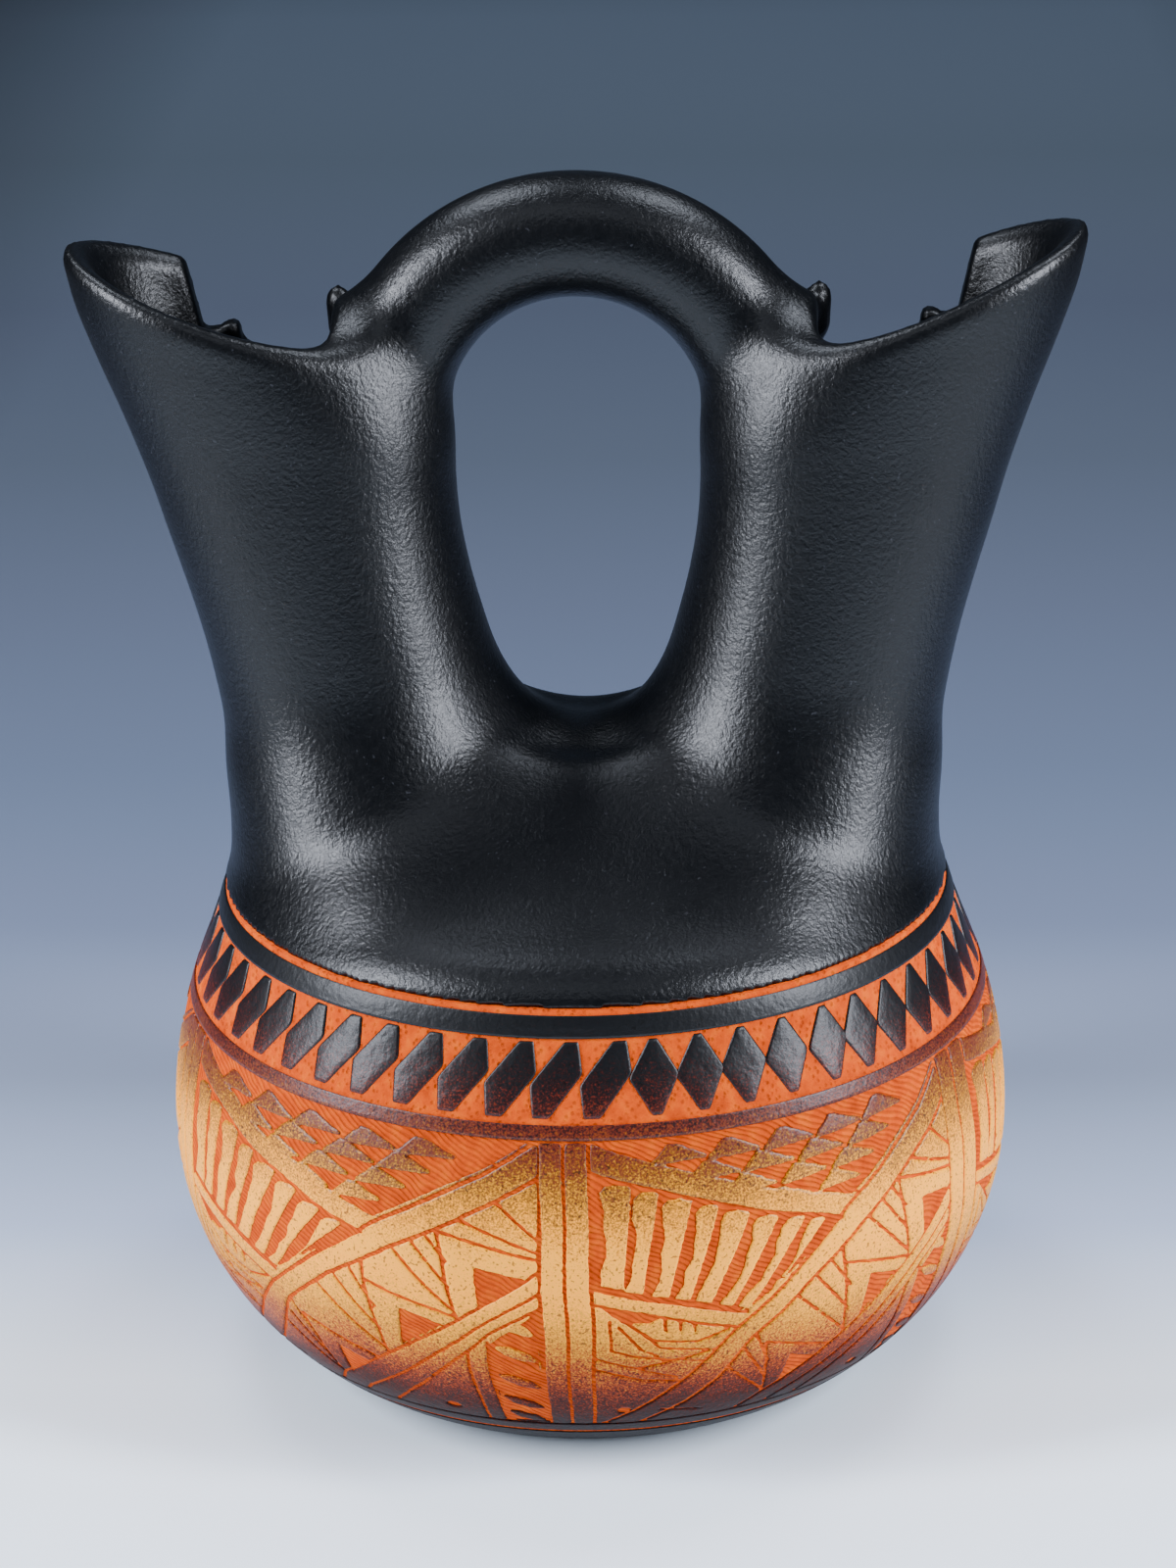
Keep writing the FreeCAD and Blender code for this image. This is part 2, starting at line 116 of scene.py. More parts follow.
def add_piece(name, points, faces, material, normals=None, body=True):
    """One mesh from points in millimetres. Its place is in the mesh, and its object stays put."""
    mesh = bpy.data.meshes.new(name)
    points = np.asarray(points, dtype=float) * MM
    mesh.from_pydata([tuple(p) for p in points.tolist()], [], [tuple(f) for f in faces])
    mesh.polygons.foreach_set("use_smooth", np.ones(len(mesh.polygons), dtype=bool))
    mesh.update()
    if normals is not None:
        mesh.normals_split_custom_set_from_vertices([tuple(n) for n in np.asarray(normals).tolist()])
    mesh.materials.append(material)
    piece = bpy.data.objects.new(name, mesh)
    bpy.context.scene.collection.objects.link(piece)
    if body:
        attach(piece, "root")
    print(name, len(mesh.vertices), "points,", len(mesh.polygons), "faces")
    return piece


print("half way, eased:", float(eased(0.5)))

# %% [markdown]
# ## The bowl's outline
# The outline is the CAD one: two bulging arcs that meet at the widest part, a hollow arc
# below the shoulder, a round corner, and a shallow cone under the saddle. An inset moves it
# inwards through the wall. The widest reach is read from the imported model's bounds.

# %% Sizes of the bowl
BOWL = round(cad_box[1][1] / MM, 1)
EQUATOR, FOOT, WALL = 52.0, 57.0, 6.0
GIRDLE, GIRDLE_Z, SHOULDER_Z = 81.2, 91.3, 102.0
LEAN, SLOPE, CORNER = math.radians(16), math.radians(20), 18.0
RING_Z, CAP = 105.3, 34.0


def bulge(reach, height):
    """Centre distance and radius of the arc from the widest point to (reach, height)."""
    rise = height - EQUATOR
    centre = (reach ** 2 + rise ** 2 - BOWL ** 2) / (2 * (reach - BOWL))
    return centre, BOWL - centre


LOW_C, LOW_R = bulge(FOOT, 0)
TOP_C, TOP_R = bulge(GIRDLE, GIRDLE_Z)
GIRDLE_TURN = math.asin((GIRDLE_Z - EQUATOR) / TOP_R)
HOLLOW_R = (SHOULDER_Z - GIRDLE_Z) / (math.sin(GIRDLE_TURN) - math.sin(LEAN))
SHOULDER = GIRDLE - HOLLOW_R * (math.cos(LEAN) - math.cos(GIRDLE_TURN))
HOLLOW_C = (SHOULDER + HOLLOW_R * math.cos(LEAN), SHOULDER_Z + HOLLOW_R * math.sin(LEAN))
CORNER_C = (SHOULDER - CORNER * math.cos(LEAN), SHOULDER_Z - CORNER * math.sin(LEAN))
print("bowl radius", BOWL, "shoulder radius", round(SHOULDER, 2))


# %% [markdown]
# ## The outline as a row of points
# Each arc is walked in small steps, and each step also gives the direction that the clay
# faces there, so light falls on the turned pieces as on a true curve.


# %% Outline
def outline(inset, step):
    """Radius, height and outward normal along the bowl's outline, from the foot to the dome."""
    rows = []

    def arc(centre, radius, start, end, sign):
        count = max(int(radius * abs(end - start) / step), 2)
        for turn in np.linspace(start, end, count, endpoint=False):
            rows.append((centre[0] + sign * radius * math.cos(turn),
                         centre[1] + sign * radius * math.sin(turn), math.cos(turn), math.sin(turn)))

    arc((LOW_C, EQUATOR), LOW_R - inset, math.asin(-EQUATOR / LOW_R), 0, 1)
    arc((TOP_C, EQUATOR), TOP_R - inset, 0, GIRDLE_TURN, 1)
    arc(HOLLOW_C, HOLLOW_R + inset, GIRDLE_TURN, LEAN, -1)
    arc(CORNER_C, CORNER - inset, LEAN, math.pi / 2 - SLOPE, 1)
    last = (CORNER_C[0] + (CORNER - inset) * math.sin(SLOPE),
            CORNER_C[1] + (CORNER - inset) * math.cos(SLOPE))
    for reach in np.linspace(last[0], 0, 24):
        drop = math.tan(SLOPE) * np.clip(CAP - reach, 0, None) ** 2 / (2 * CAP)
        height = last[1] + (last[0] - reach) * math.tan(SLOPE) - drop
        rows.append((reach, height, math.sin(SLOPE), math.cos(SLOPE)))
    return np.array(rows)


SKIN = outline(0, 0.5)
SKIN_RUN = np.concatenate([[0], np.cumsum(np.hypot(*np.diff(SKIN[:, :2], axis=0).T))])
print("dome top", round(SKIN[-1, 1], 2), "length of the outline", round(SKIN_RUN[-1], 1))

# %% [markdown]
# ## Places on the outline
# The pattern is laid out flat, by azimuth and by the distance that a tape would run up the
# bowl from its foot. These helpers put such a place back on the bowl, and tell how far a
# flat place is from a shape's border.

# %% Places and distances
DOME_FROM = 112.0


def on_skin(azimuth, run, lift):
    """Points at an azimuth in degrees from the front, a distance along the outline, and a
    lift off it."""
    turn = np.radians(azimuth)
    radius, height, out, up = (np.interp(run, SKIN_RUN, SKIN[:, i]) for i in range(4))
    radius = radius + out * lift
    return np.stack([radius * np.sin(turn), -radius * np.cos(turn), height + up * lift], axis=-1)


def run_at(height):
    """Distance along the outline at a height on the bowl."""
    last = np.argmax(SKIN[:, 1] > DOME_FROM)
    return np.interp(height, SKIN[:last, 1], SKIN_RUN[:last])


def polygon_distance(x, z, corners):
    """Signed distance to a closed polygon, negative inside."""
    nearest = np.full(np.broadcast(x, z).shape, 1e9)
    inside = np.zeros(nearest.shape, dtype=bool)
    for (ax, az), (bx, bz) in zip(corners, corners[1:] + corners[:1]):
        length = (bx - ax) ** 2 + (bz - az) ** 2
        t = np.clip(((x - ax) * (bx - ax) + (z - az) * (bz - az)) / length, 0, 1)
        nearest = np.minimum(nearest, np.hypot(x - ax - t * (bx - ax), z - az - t * (bz - az)))
        if az != bz:
            crosses = ((az > z) != (bz > z)) & (x < (bx - ax) * (z - az) / (bz - az) + ax)
            inside ^= crosses
    return np.where(inside, -nearest, nearest)


print("the widest part is", round(float(run_at(EQUATOR)), 1), "mm up the outline")

# %% [markdown]
# ## Black slip
# Fine clay slip, blackened and rubbed with a smooth stone. It gives the eye a satin black
# with soft, wide highlights, broken by an orange peel, by long faint strokes of the stone
# and by painted glints: a few pale specks in the colour. Grain and glints are drawn coarser
# than the real ones, so that they show. Every pattern works on the object's own coordinates, in cells of a
# real size.

# %% Black slip
PEEL, GRAIN, STROKE, GLINT_SPECK, SWELL = 1.56, 0.91, 1.61, 0.67, 18.0


def new_material(name):
    """A material with an empty node tree, and the object's own coordinates in it."""
    material = bpy.data.materials.new(name)
    material.use_nodes = True
    tree = material.node_tree
    tree.nodes.clear()
    return material, tree, node(tree, "ShaderNodeTexCoord", (0, 0)).outputs["Object"]


def black_slip():
    """Satin black slip, burnished by hand."""
    material, tree, place = new_material("black_slip")
    noise = {"Vector": place, "Detail": 3.0, "Roughness": 0.6}
    drawn = node(tree, "ShaderNodeMapping", (1, -6),
                 {"Vector": place, "Rotation": (0.3, 0.5, 0.6), "Scale": (1.0, 1.0, 0.16)}).outputs[0]
    grain = node(tree, "ShaderNodeTexNoise", (1, 0), noise | {"Scale": cells_of(GRAIN)}).outputs[0]
    peel = node(tree, "ShaderNodeTexNoise", (1, -2), noise | {"Scale": cells_of(PEEL)}).outputs[0]
    noise["Detail"] = 2.0
    swell = node(tree, "ShaderNodeTexNoise", (1, 2), noise | {"Scale": cells_of(SWELL)}).outputs[0]
    strokes = node(tree, "ShaderNodeTexNoise", (2, -6),
                   noise | {"Vector": drawn, "Scale": cells_of(STROKE)}).outputs[0]
    noise["Detail"] = 0.0
    glint_noise = node(tree, "ShaderNodeTexNoise", (1, 4), noise | {"Scale": cells_of(GLINT_SPECK)}).outputs[0]
    # Painted glints: pale specks mixed into the black colour stand in for the slip's sparkle.
    painted_glints = node(tree, "ShaderNodeMapRange", (3, 4), {0: glint_noise, 1: 0.79, 2: 0.83}).outputs[0]
    ground = node(tree, "ShaderNodeValToRGB", (3, 2), {0: swell},
                  ((0.3, linear("#030406")), (0.7, linear("#060709")))).outputs[0]
    colour = node(tree, "ShaderNodeMix", (5, 2), {0: painted_glints, 6: ground, 7: linear("#222327")}, data_type="RGBA")
    sheen = node(tree, "ShaderNodeMapRange", (5, 0), {0: peel, 1: 0.3, 2: 0.7, 3: 0.29, 4: 0.36})
    relief = node(tree, "ShaderNodeBump", (4, -3), {"Height": peel, "Distance": 0.15 * MM, "Strength": 0.4})
    relief = node(tree, "ShaderNodeBump", (5, -4), {
        "Height": strokes, "Distance": 0.15 * MM, "Strength": 0.3, "Normal": relief.outputs[0]})
    relief = node(tree, "ShaderNodeBump", (6, -5), {
        "Height": grain, "Distance": 0.2 * MM, "Strength": 0.8, "Normal": relief.outputs[0]})
    coat = node(tree, "ShaderNodeBsdfPrincipled", (8, 0), {
        "Base Color": colour.outputs[2], "Roughness": sheen.outputs[0],
        "Specular IOR Level": 0.32, "Normal": relief.outputs[0]})
    node(tree, "ShaderNodeOutputMaterial", (10, 0), {"Surface": coat.outputs[0]})
    return material


BLACK = black_slip()
print("made", BLACK.name, "with", len(BLACK.node_tree.nodes), "nodes")

# %% [markdown]
# ## Sprayed slip
# Slip blown on in a mist while the bowl turns, so its colour follows the height, from a
# dark foot through gold to maroon and black. It gives the eye colours that fade into each
# other through fine specks, with a softer sheen than the black slip has. The foot is left
# unrubbed, so its sheen is the lowest. The drops are drawn coarser than the real ones.

# %% Sprayed slip
SLIP_STOPS = (
    (9.0, "#242224"), (16.0, "#2a1410"), (21.0, "#420f00"), (26.0, "#6c1f00"), (31.0, "#a04000"),
    (35.0, "#b66e00"), (41.0, "#d88c00"), (49.0, "#ff9e0c"), (58.0, "#ffa616"), (64.0, "#e48a00"),
    (69.0, "#aa6c00"), (74.0, "#784200"), (78.5, "#6a2a0c"), (84.0, "#50160c"), (88.0, "#2c0a06"),
    (94.0, "#0e0809"), (99.0, "#08090b"), (110.0, "#08090b"))
SHEEN_STOPS = ((20.0, 0.04), (45.0, 0.22), (82.0, 0.30))
DRIFT, DRIFT_REACH, MIST, MIST_REACH, DROP, RIPPLE = 16.7, 5.0, 0.435, 17.0, 0.59, 1.67


def sprayed_slip():
    """Sprayed slip whose colour follows the height, broken into fine specks."""
    material, tree, place = new_material("sprayed_slip")
    height = node(tree, "ShaderNodeSeparateXYZ", (1, 0), {0: place}).outputs["Z"]
    noise = {"Vector": place, "Roughness": 0.6}
    drift = node(tree, "ShaderNodeTexNoise", (1, 2),
                 noise | {"Scale": cells_of(DRIFT), "Detail": 2.0}).outputs[0]
    mist = node(tree, "ShaderNodeTexNoise", (1, 4),
                noise | {"Scale": cells_of(MIST), "Detail": 1.0}).outputs[0]
    drops = node(tree, "ShaderNodeTexNoise", (4, 4),
                 noise | {"Scale": cells_of(DROP), "Detail": 0.0}).outputs[0]
    ripple = node(tree, "ShaderNodeTexNoise", (5, -2),
                  noise | {"Scale": cells_of(RIPPLE), "Detail": 2.0}).outputs[0]
    shift = node(tree, "ShaderNodeMapRange", (2, 2),
                 {0: drift, 3: -DRIFT_REACH * MM, 4: DRIFT_REACH * MM}).outputs[0]
    spray = node(tree, "ShaderNodeMapRange", (2, 4),
                 {0: mist, 3: -MIST_REACH * MM, 4: MIST_REACH * MM}).outputs[0]
    blown = node(tree, "ShaderNodeMath", (3, 2), {0: height, 1: shift}, operation="ADD").outputs[0]
    blown = node(tree, "ShaderNodeMath", (4, 2), {0: blown, 1: spray}, operation="ADD").outputs[0]
    low, high = SLIP_STOPS[0][0], SLIP_STOPS[-1][0]
    share = node(tree, "ShaderNodeMapRange", (5, 2), {0: blown, 1: low * MM, 2: high * MM}).outputs[0]
    colour = node(tree, "ShaderNodeValToRGB", (6, 2), {0: share},
                  [((z - low) / (high - low), linear(c)) for z, c in SLIP_STOPS]).outputs[0]
    dots = node(tree, "ShaderNodeMapRange", (5, 4), {0: drops, 1: 0.66, 2: 0.74, 4: 0.75}).outputs[0]
    flecked = node(tree, "ShaderNodeMix", (7, 2), {0: dots, 6: colour, 7: linear("#6a5a2c")},
                   data_type="RGBA", blend_type="MULTIPLY")
    sheen = node(tree, "ShaderNodeValToRGB", (6, 0),
                 {0: height}, [(z * MM, (s, s, s, 1)) for z, s in SHEEN_STOPS])
    relief = node(tree, "ShaderNodeBump", (6, -2), {"Height": ripple, "Distance": 0.3 * MM, "Strength": 0.45})
    coat = node(tree, "ShaderNodeBsdfPrincipled", (8, 0), {
        "Base Color": flecked.outputs[2], "Roughness": 0.40,
        "Specular IOR Level": sheen.outputs[0], "Normal": relief.outputs[0]})
    node(tree, "ShaderNodeOutputMaterial", (10, 0), {"Surface": coat.outputs[0]})
    return material


SLIP = sprayed_slip()
print("made", SLIP.name, "with", len(SLIP_STOPS), "colours")

# %% [markdown]
# ## Carved clay
# Fired red clay, bare where the blade took the slip away. It gives the eye a dry, matt
# orange. Around the shoulder the clay is pecked with a point, so it shows pits. In the
# panels below it is scraped, so it shows slanting lines, as far apart as a comb's teeth.
# Pits and grooves are bumps, and their colour is also darkened as painted shade.

# %% Carved clay
PATCH, PIT, COMB, WAVER, WAVER_REACH, TOOTH = 3.33, 1.28, 1.21, 8.3, 4.0, 0.77
PECKED_FROM, PECKED_TO, COMB_SLANT = 83.0, 85.0, 44.0


def carved_clay():
    """Matt orange clay where the slip was cut away: pecked above, combed below, with painted shade in the
    pits and grooves.
    """
    material, tree, place = new_material("carved_clay")
    noise = {"Vector": place, "Roughness": 0.6}
    split = node(tree, "ShaderNodeSeparateXYZ", (1, -6), {0: place}).outputs
    patch = node(tree, "ShaderNodeTexNoise", (1, 2),
                 noise | {"Scale": cells_of(PATCH), "Detail": 4.0}).outputs[0]
    waver = node(tree, "ShaderNodeTexNoise", (1, -10),
                 noise | {"Scale": cells_of(WAVER), "Detail": 1.0}).outputs[0]
    grain = node(tree, "ShaderNodeTexNoise", (3, -3),
                 noise | {"Scale": cells_of(TOOTH), "Detail": 3.0}).outputs[0]
    colour = node(tree, "ShaderNodeValToRGB", (3, 2), {0: patch}, (
        (0.25, linear("#a63600")), (0.5, linear("#c44600")), (0.75, linear("#d85c04")))).outputs[0]
    cells = node(tree, "ShaderNodeTexVoronoi", (1, -1), {"Vector": place, "Scale": cells_of(PIT)}).outputs[0]
    pits = node(tree, "ShaderNodeMapRange", (3, -1), {0: cells, 1: 0.12, 2: 0.40}).outputs[0]
    back = node(tree, "ShaderNodeMath", (1, -8), {0: split["Y"], 1: -1.0}, operation="MULTIPLY").outputs[0]
    turn = node(tree, "ShaderNodeMath", (2, -8), {0: split["X"], 1: back}, operation="ARCTAN2").outputs[0]
    slant = node(tree, "ShaderNodeMath", (3, -8), {0: turn, 1: COMB_SLANT * MM, 2: split["Z"]},
                 operation="MULTIPLY_ADD").outputs[0]
    slant = node(tree, "ShaderNodeMath", (4, -8), {0: waver, 1: WAVER_REACH * MM, 2: slant},
                 operation="MULTIPLY_ADD").outputs[0]
    phase = node(tree, "ShaderNodeMath", (5, -8), {0: slant, 1: 2 * math.pi * cells_of(COMB)},
                 operation="MULTIPLY").outputs[0]
    wave = node(tree, "ShaderNodeMath", (6, -8), {0: phase}, operation="SINE").outputs[0]
    comb = node(tree, "ShaderNodeMapRange", (7, -8), {0: wave, 1: -1.0, 2: 0.2}).outputs[0]
    pecked = node(tree, "ShaderNodeMapRange", (3, -6),
                  {0: split["Z"], 1: PECKED_FROM * MM, 2: PECKED_TO * MM}).outputs[0]
    marks = node(tree, "ShaderNodeMix", (5, -1), {0: pecked, 2: comb, 3: pits}, data_type="FLOAT").outputs[0]
    # Painted shade: the marks darken the clay's colour in the pits and comb grooves.
    painted_groove_shade = node(tree, "ShaderNodeMapRange", (6, 1), {0: marks, 3: 0.62, 4: 1.0}).outputs[0]
    clay_with_painted_shade = node(tree, "ShaderNodeMix", (7, 2),
                  {0: 0.8, 6: colour, 7: painted_groove_shade}, data_type="RGBA", blend_type="MULTIPLY")
    relief = node(tree, "ShaderNodeBump", (6, -1), {"Height": marks, "Distance": 0.4 * MM, "Strength": 0.6})
    relief = node(tree, "ShaderNodeBump", (7, -2), {
        "Height": grain, "Distance": 0.3 * MM, "Strength": 0.5, "Normal": relief.outputs[0]})
    coat = node(tree, "ShaderNodeBsdfPrincipled", (8, 0), {
        "Base Color": clay_with_painted_shade.outputs[2], "Roughness": 0.85,
        "Specular IOR Level": 0.1, "Normal": relief.outputs[0]})
    node(tree, "ShaderNodeOutputMaterial", (10, 0), {"Surface": coat.outputs[0]})
    return material


CLAY = carved_clay()
print("made", CLAY.name, "with comb lines", COMB, "mm apart")

# %% [markdown]
# ## The turned bowl
# The bowl's two courses and the floor are turned forms. They show as bare clay in the cut
# pattern, so their skin is a hair lower than the slip that lies on them.

# %% A turned form
CUT_DEPTH, SEGMENTS = 0.32, 360


def turned(name, loop, normals, material):
    """Turn a closed loop of (radius, height) points about the vase's axis."""
    turns = np.linspace(0, 2 * np.pi, SEGMENTS, endpoint=False)
    loop, normals = np.asarray(loop), np.asarray(normals)
    sine, cosine = np.sin(turns)[:, None], np.cos(turns)[:, None]
    points = np.stack([loop[:, 0] * sine, -loop[:, 0] * cosine, loop[:, 1] + 0 * sine], -1)
    facing = np.stack([normals[:, 0] * sine, -normals[:, 0] * cosine, normals[:, 1] + 0 * sine], -1)
    count = len(loop)
    one = np.arange(SEGMENTS)[:, None] * count
    two = (np.arange(SEGMENTS)[:, None] + 1) % SEGMENTS * count
    here, there = np.arange(count), (np.arange(count) + 1) % count
    faces = np.stack([one + here, two + here, two + there, one + there], -1).reshape(-1, 4)
    return add_piece(name, points.reshape(-1, 3), faces.tolist(), material, facing.reshape(-1, 3))


print("a turned form has", SEGMENTS, "segments")

# %% [markdown]
# ## Lower and upper course
# The potter coils the bowl in two courses and lutes them at the widest part. Each has an
# outer skin of bare clay and an inner wall.

# %% Two courses
FLOOR_TOP, ROW_STEP, INNER_REACH = 9.0, 0.3, 40.0


def course(name, bottom, top, node_name):
    """One course of the bowl between two heights, with its outer skin and its inner wall."""
    loop, normals = [], []
    for inset, sign in ((CUT_DEPTH, 1), (WALL, -1)):
        rows = outline(inset, 1.0)
        level = rows[:, 1]
        rows = rows[(level > bottom + ROW_STEP) & (level < top - ROW_STEP) & (rows[:, 0] > INNER_REACH)]
        ends = [[z if i == 1 else np.interp(z, rows[:, 1], rows[:, i]) for i in range(4)]
                for z in (bottom, top)]
        side = np.vstack([ends[:1], rows, ends[1:]])[::sign]
        loop.append(side[:, :2])
        normals.append(side[:, 2:] * sign)
    piece = turned(name, np.vstack(loop), np.vstack(normals), CLAY)
    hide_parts(node_name)


course("lower_bowl_clay", FLOOR_TOP, EQUATOR, "lower_bowl")
course("upper_bowl_clay", EQUATOR, RING_Z + 0.5, "upper_bowl")

# %% [markdown]
# ## The floor
# The floor is a flat slab that the potter pats out first. Its edge is the start of the
# bowl's curve, and a shallow hollow underneath lets the vase stand on its rim.

# %% Floor slab
HOLLOW, STAND, SLAB_REACH = 0.6, (3.0, 6.0), 66.0
edge = SKIN[SKIN[:, 1] < FLOOR_TOP][::2]
under = [(0.01, HOLLOW), (FOOT - STAND[1], HOLLOW), (FOOT - STAND[0], 0.0)]
floor_loop = np.vstack([under, edge[:, :2], [(SLAB_REACH, FLOOR_TOP), (0.01, FLOOR_TOP)]])
floor_normals = np.vstack([[(0, -1)] * 3, edge[:, 2:], [(0, 1)] * 2])
base = turned("floor_slab", floor_loop, floor_normals, SLIP)
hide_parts("base_slab")

# %% [markdown]
# ## Bands that ring the bowl
# The potter turns the bowl on a wheel and holds a blade still, so every ring is level and
# has an even depth. Each strip of slip between two rings is a turned piece with soft edges.

# %% Ring strips
STRIPS = (("black_strip", 100.5, RING_Z - 0.5), ("maroon_strip", 81.7, 84.6), ("foot_strip_upper", 9.7, 12.7))


def strip(name, bottom, top):
    """A strip of slip between two heights, raised above the cut clay."""
    level = SKIN[:, 1]
    rows = SKIN[(level > bottom + ROW_STEP) & (level < top - ROW_STEP) & (SKIN[:, 0] > INNER_REACH)]
    ends = np.array([[np.interp(run_at(z), SKIN_RUN, SKIN[:, i]) for i in range(4)] for z in (bottom, top)])
    side = np.vstack([ends[:1], rows, ends[1:]])
    low = side[[-1, 0]].copy()
    low[:, :2] -= low[:, 2:] * (CUT_DEPTH + 0.2)
    facing = side[:, 2:].copy()
    facing[0] += (0, -1)
    facing[-1] += (0, 1)
    piece = turned(name, np.vstack([side, low])[:, :2], np.vstack([facing, [(0, 1), (0, -1)]]), SLIP)


for name, bottom, top in STRIPS:
    strip(name, bottom, top)

# %% [markdown]
# ## One diamond
# About fifty diamonds ring the shoulder, cut by eye from one shape. They lean on most of
# the round and stand upright on the rest. One of each kind is drawn in place, as a small
# island of slip with rounded corners and sloping sides.

# %% A diamond of slip
DIAMONDS = 53
LEANING = ((1.1, 7.1), (3.1, 7.1), (3.6, 1.0), (-0.9, -7.5), (-3.1, -7.5), (-3.6, -1.2))
UPRIGHT = ((-0.4, 7.1), (0.8, 7.1), (3.5, 0.2), (0.7, -7.4), (-0.6, -7.4), (-3.5, -0.2))
DIAMOND_Z, CORNER_SHARE = 93.0, 0.09
DIAMOND_RINGS = ((1.05, -CUT_DEPTH - 0.1), (1.01, -0.08), (0.93, 0.0), (0.45, 0.0))


def diamond(name, corners):
    """One diamond at azimuth 0 with rounded corners, a raised top and sloping sides."""
    corners = np.array(corners)
    ring = []
    for i, corner in enumerate(corners):
        before, after = (corners[k] - corner for k in (i - 1, (i + 1) % len(corners)))
        ring += [corner + CORNER_SHARE * (before * (1 - s) ** 2 + after * s ** 2) for s in (0.0, 0.5, 1.0)]
    ring = np.array(ring)[::-1]
    middle = run_at(DIAMOND_Z)
    shapes = [on_skin(ring[:, 0] * k, middle + ring[:, 1] * k, lift) for k, lift in DIAMOND_RINGS]
    points = np.vstack(shapes + [on_skin(np.array([0.0]), np.array([middle]), 0.0)])
    count = len(ring)
    faces = []
    for i in range(count):
        after = (i + 1) % count
        faces += [(k + i, k + count + i, k + count + after, k + after) for k in (0, count, 2 * count)]
        faces.append((3 * count + i, 4 * count, 3 * count + after))
    return add_piece(name, points, faces, SLIP, body=False)


leaning_diamond = diamond("leaning_diamond", LEANING)
upright_diamond = diamond("upright_diamond", UPRIGHT)

# %% [markdown]
# ## The ring of diamonds
# Geometry Nodes turn copies of a diamond about the vase's axis, each a little off its even
# place, as a hand would set them. The tree ends in real faces with their material, and the
# result is kept as a plain mesh.

# %% Ring of copies
LEAN_FROM, LEAN_TO, UNEVEN, RING_SEED = -118.0, 17.0, 0.5, 7


def ring_of(name, pattern, count, first, step):
    """Turn copies of one piece about the vase's axis with Geometry Nodes."""
    tree = bpy.data.node_groups.new(name, "GeometryNodeTree")
    sizes = {"Count": ("Int", count), "First angle": ("Float", math.radians(first)),
             "Step angle": ("Float", math.radians(step)), "Unevenness": ("Float", math.radians(UNEVEN)),
             "Seed": ("Int", RING_SEED), "Shape": ("Object", pattern)}
    for label, (kind, _) in sizes.items():
        tree.interface.new_socket(label, in_out="INPUT", socket_type="NodeSocket" + kind)
    tree.interface.new_socket("Ring", in_out="OUTPUT", socket_type="NodeSocketGeometry")
    given = node(tree, "NodeGroupInput", (0, 0)).outputs
    index = node(tree, "GeometryNodeInputIndex", (1, -2)).outputs[0]
    sway = node(tree, "FunctionNodeRandomValue", (1, -4),
                {"Seed": given["Seed"]}, data_type="FLOAT").outputs[1]
    line = node(tree, "GeometryNodeMeshLine", (1, 0), {"Count": given["Count"], "Offset": (0, 0, 0)})
    even = node(tree, "ShaderNodeMath", (2, -2), {0: index, 1: given["Step angle"], 2: given["First angle"]},
                operation="MULTIPLY_ADD").outputs[0]
    angle = node(tree, "ShaderNodeMath", (3, -2), {0: sway, 1: given["Unevenness"], 2: even},
                 operation="MULTIPLY_ADD").outputs[0]
    about = node(tree, "ShaderNodeCombineXYZ", (4, -2), {"Z": angle}).outputs[0]
    shape = node(tree, "GeometryNodeObjectInfo", (4, 2), {"Object": given["Shape"]}).outputs["Geometry"]
    placed = node(tree, "GeometryNodeInstanceOnPoints", (5, 0), {
        "Points": line.outputs[0], "Instance": shape, "Rotation": about})
    real = node(tree, "GeometryNodeRealizeInstances", (6, 0), {0: placed.outputs[0]})
    coat = node(tree, "GeometryNodeSetMaterial", (7, 0), {"Geometry": real.outputs[0], "Material": SLIP})
    node(tree, "NodeGroupOutput", (8, 0), {0: coat.outputs[0]})
    holder = bpy.data.objects.new(name, bpy.data.meshes.new(name))
    bpy.context.scene.collection.objects.link(holder)
    modifier = holder.modifiers.new("ring", "NODES")
    modifier.node_group = tree
    for item in tree.interface.items_tree:
        if item.in_out == "INPUT":
            modifier[item.identifier] = sizes[item.name][1]
    shown = holder.evaluated_get(bpy.context.evaluated_depsgraph_get())
    mesh = bpy.data.meshes.new_from_object(shown)
    holder.modifiers.remove(modifier)
    holder.data = mesh
    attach(holder, "root")
    bpy.data.objects.remove(pattern)
    print(name, "has", count, "copies and", len(mesh.polygons), "faces")


pitch = 360 / DIAMONDS
leaning = int((LEAN_TO - LEAN_FROM) / pitch)
ring_of("leaning_diamonds", leaning_diamond, leaning, LEAN_FROM, pitch)
ring_of("upright_diamonds", upright_diamond, DIAMONDS - leaning, LEAN_FROM + leaning * pitch, pitch)

# %% [markdown]
# ## The cut pattern of one panel
# Five panels ring the bowl, parted by double stripes. The potter draws each with a needle,
# then scrapes the slip away inside the shapes. So the pattern is described as the potter
# works: strokes of the needle, scraped areas, and patches of slip left inside them. Places
# are (u, z): u runs from 0 at the left stripe to 60 at the right one, z is the height in mm.
# Each stroke starts with its half width.

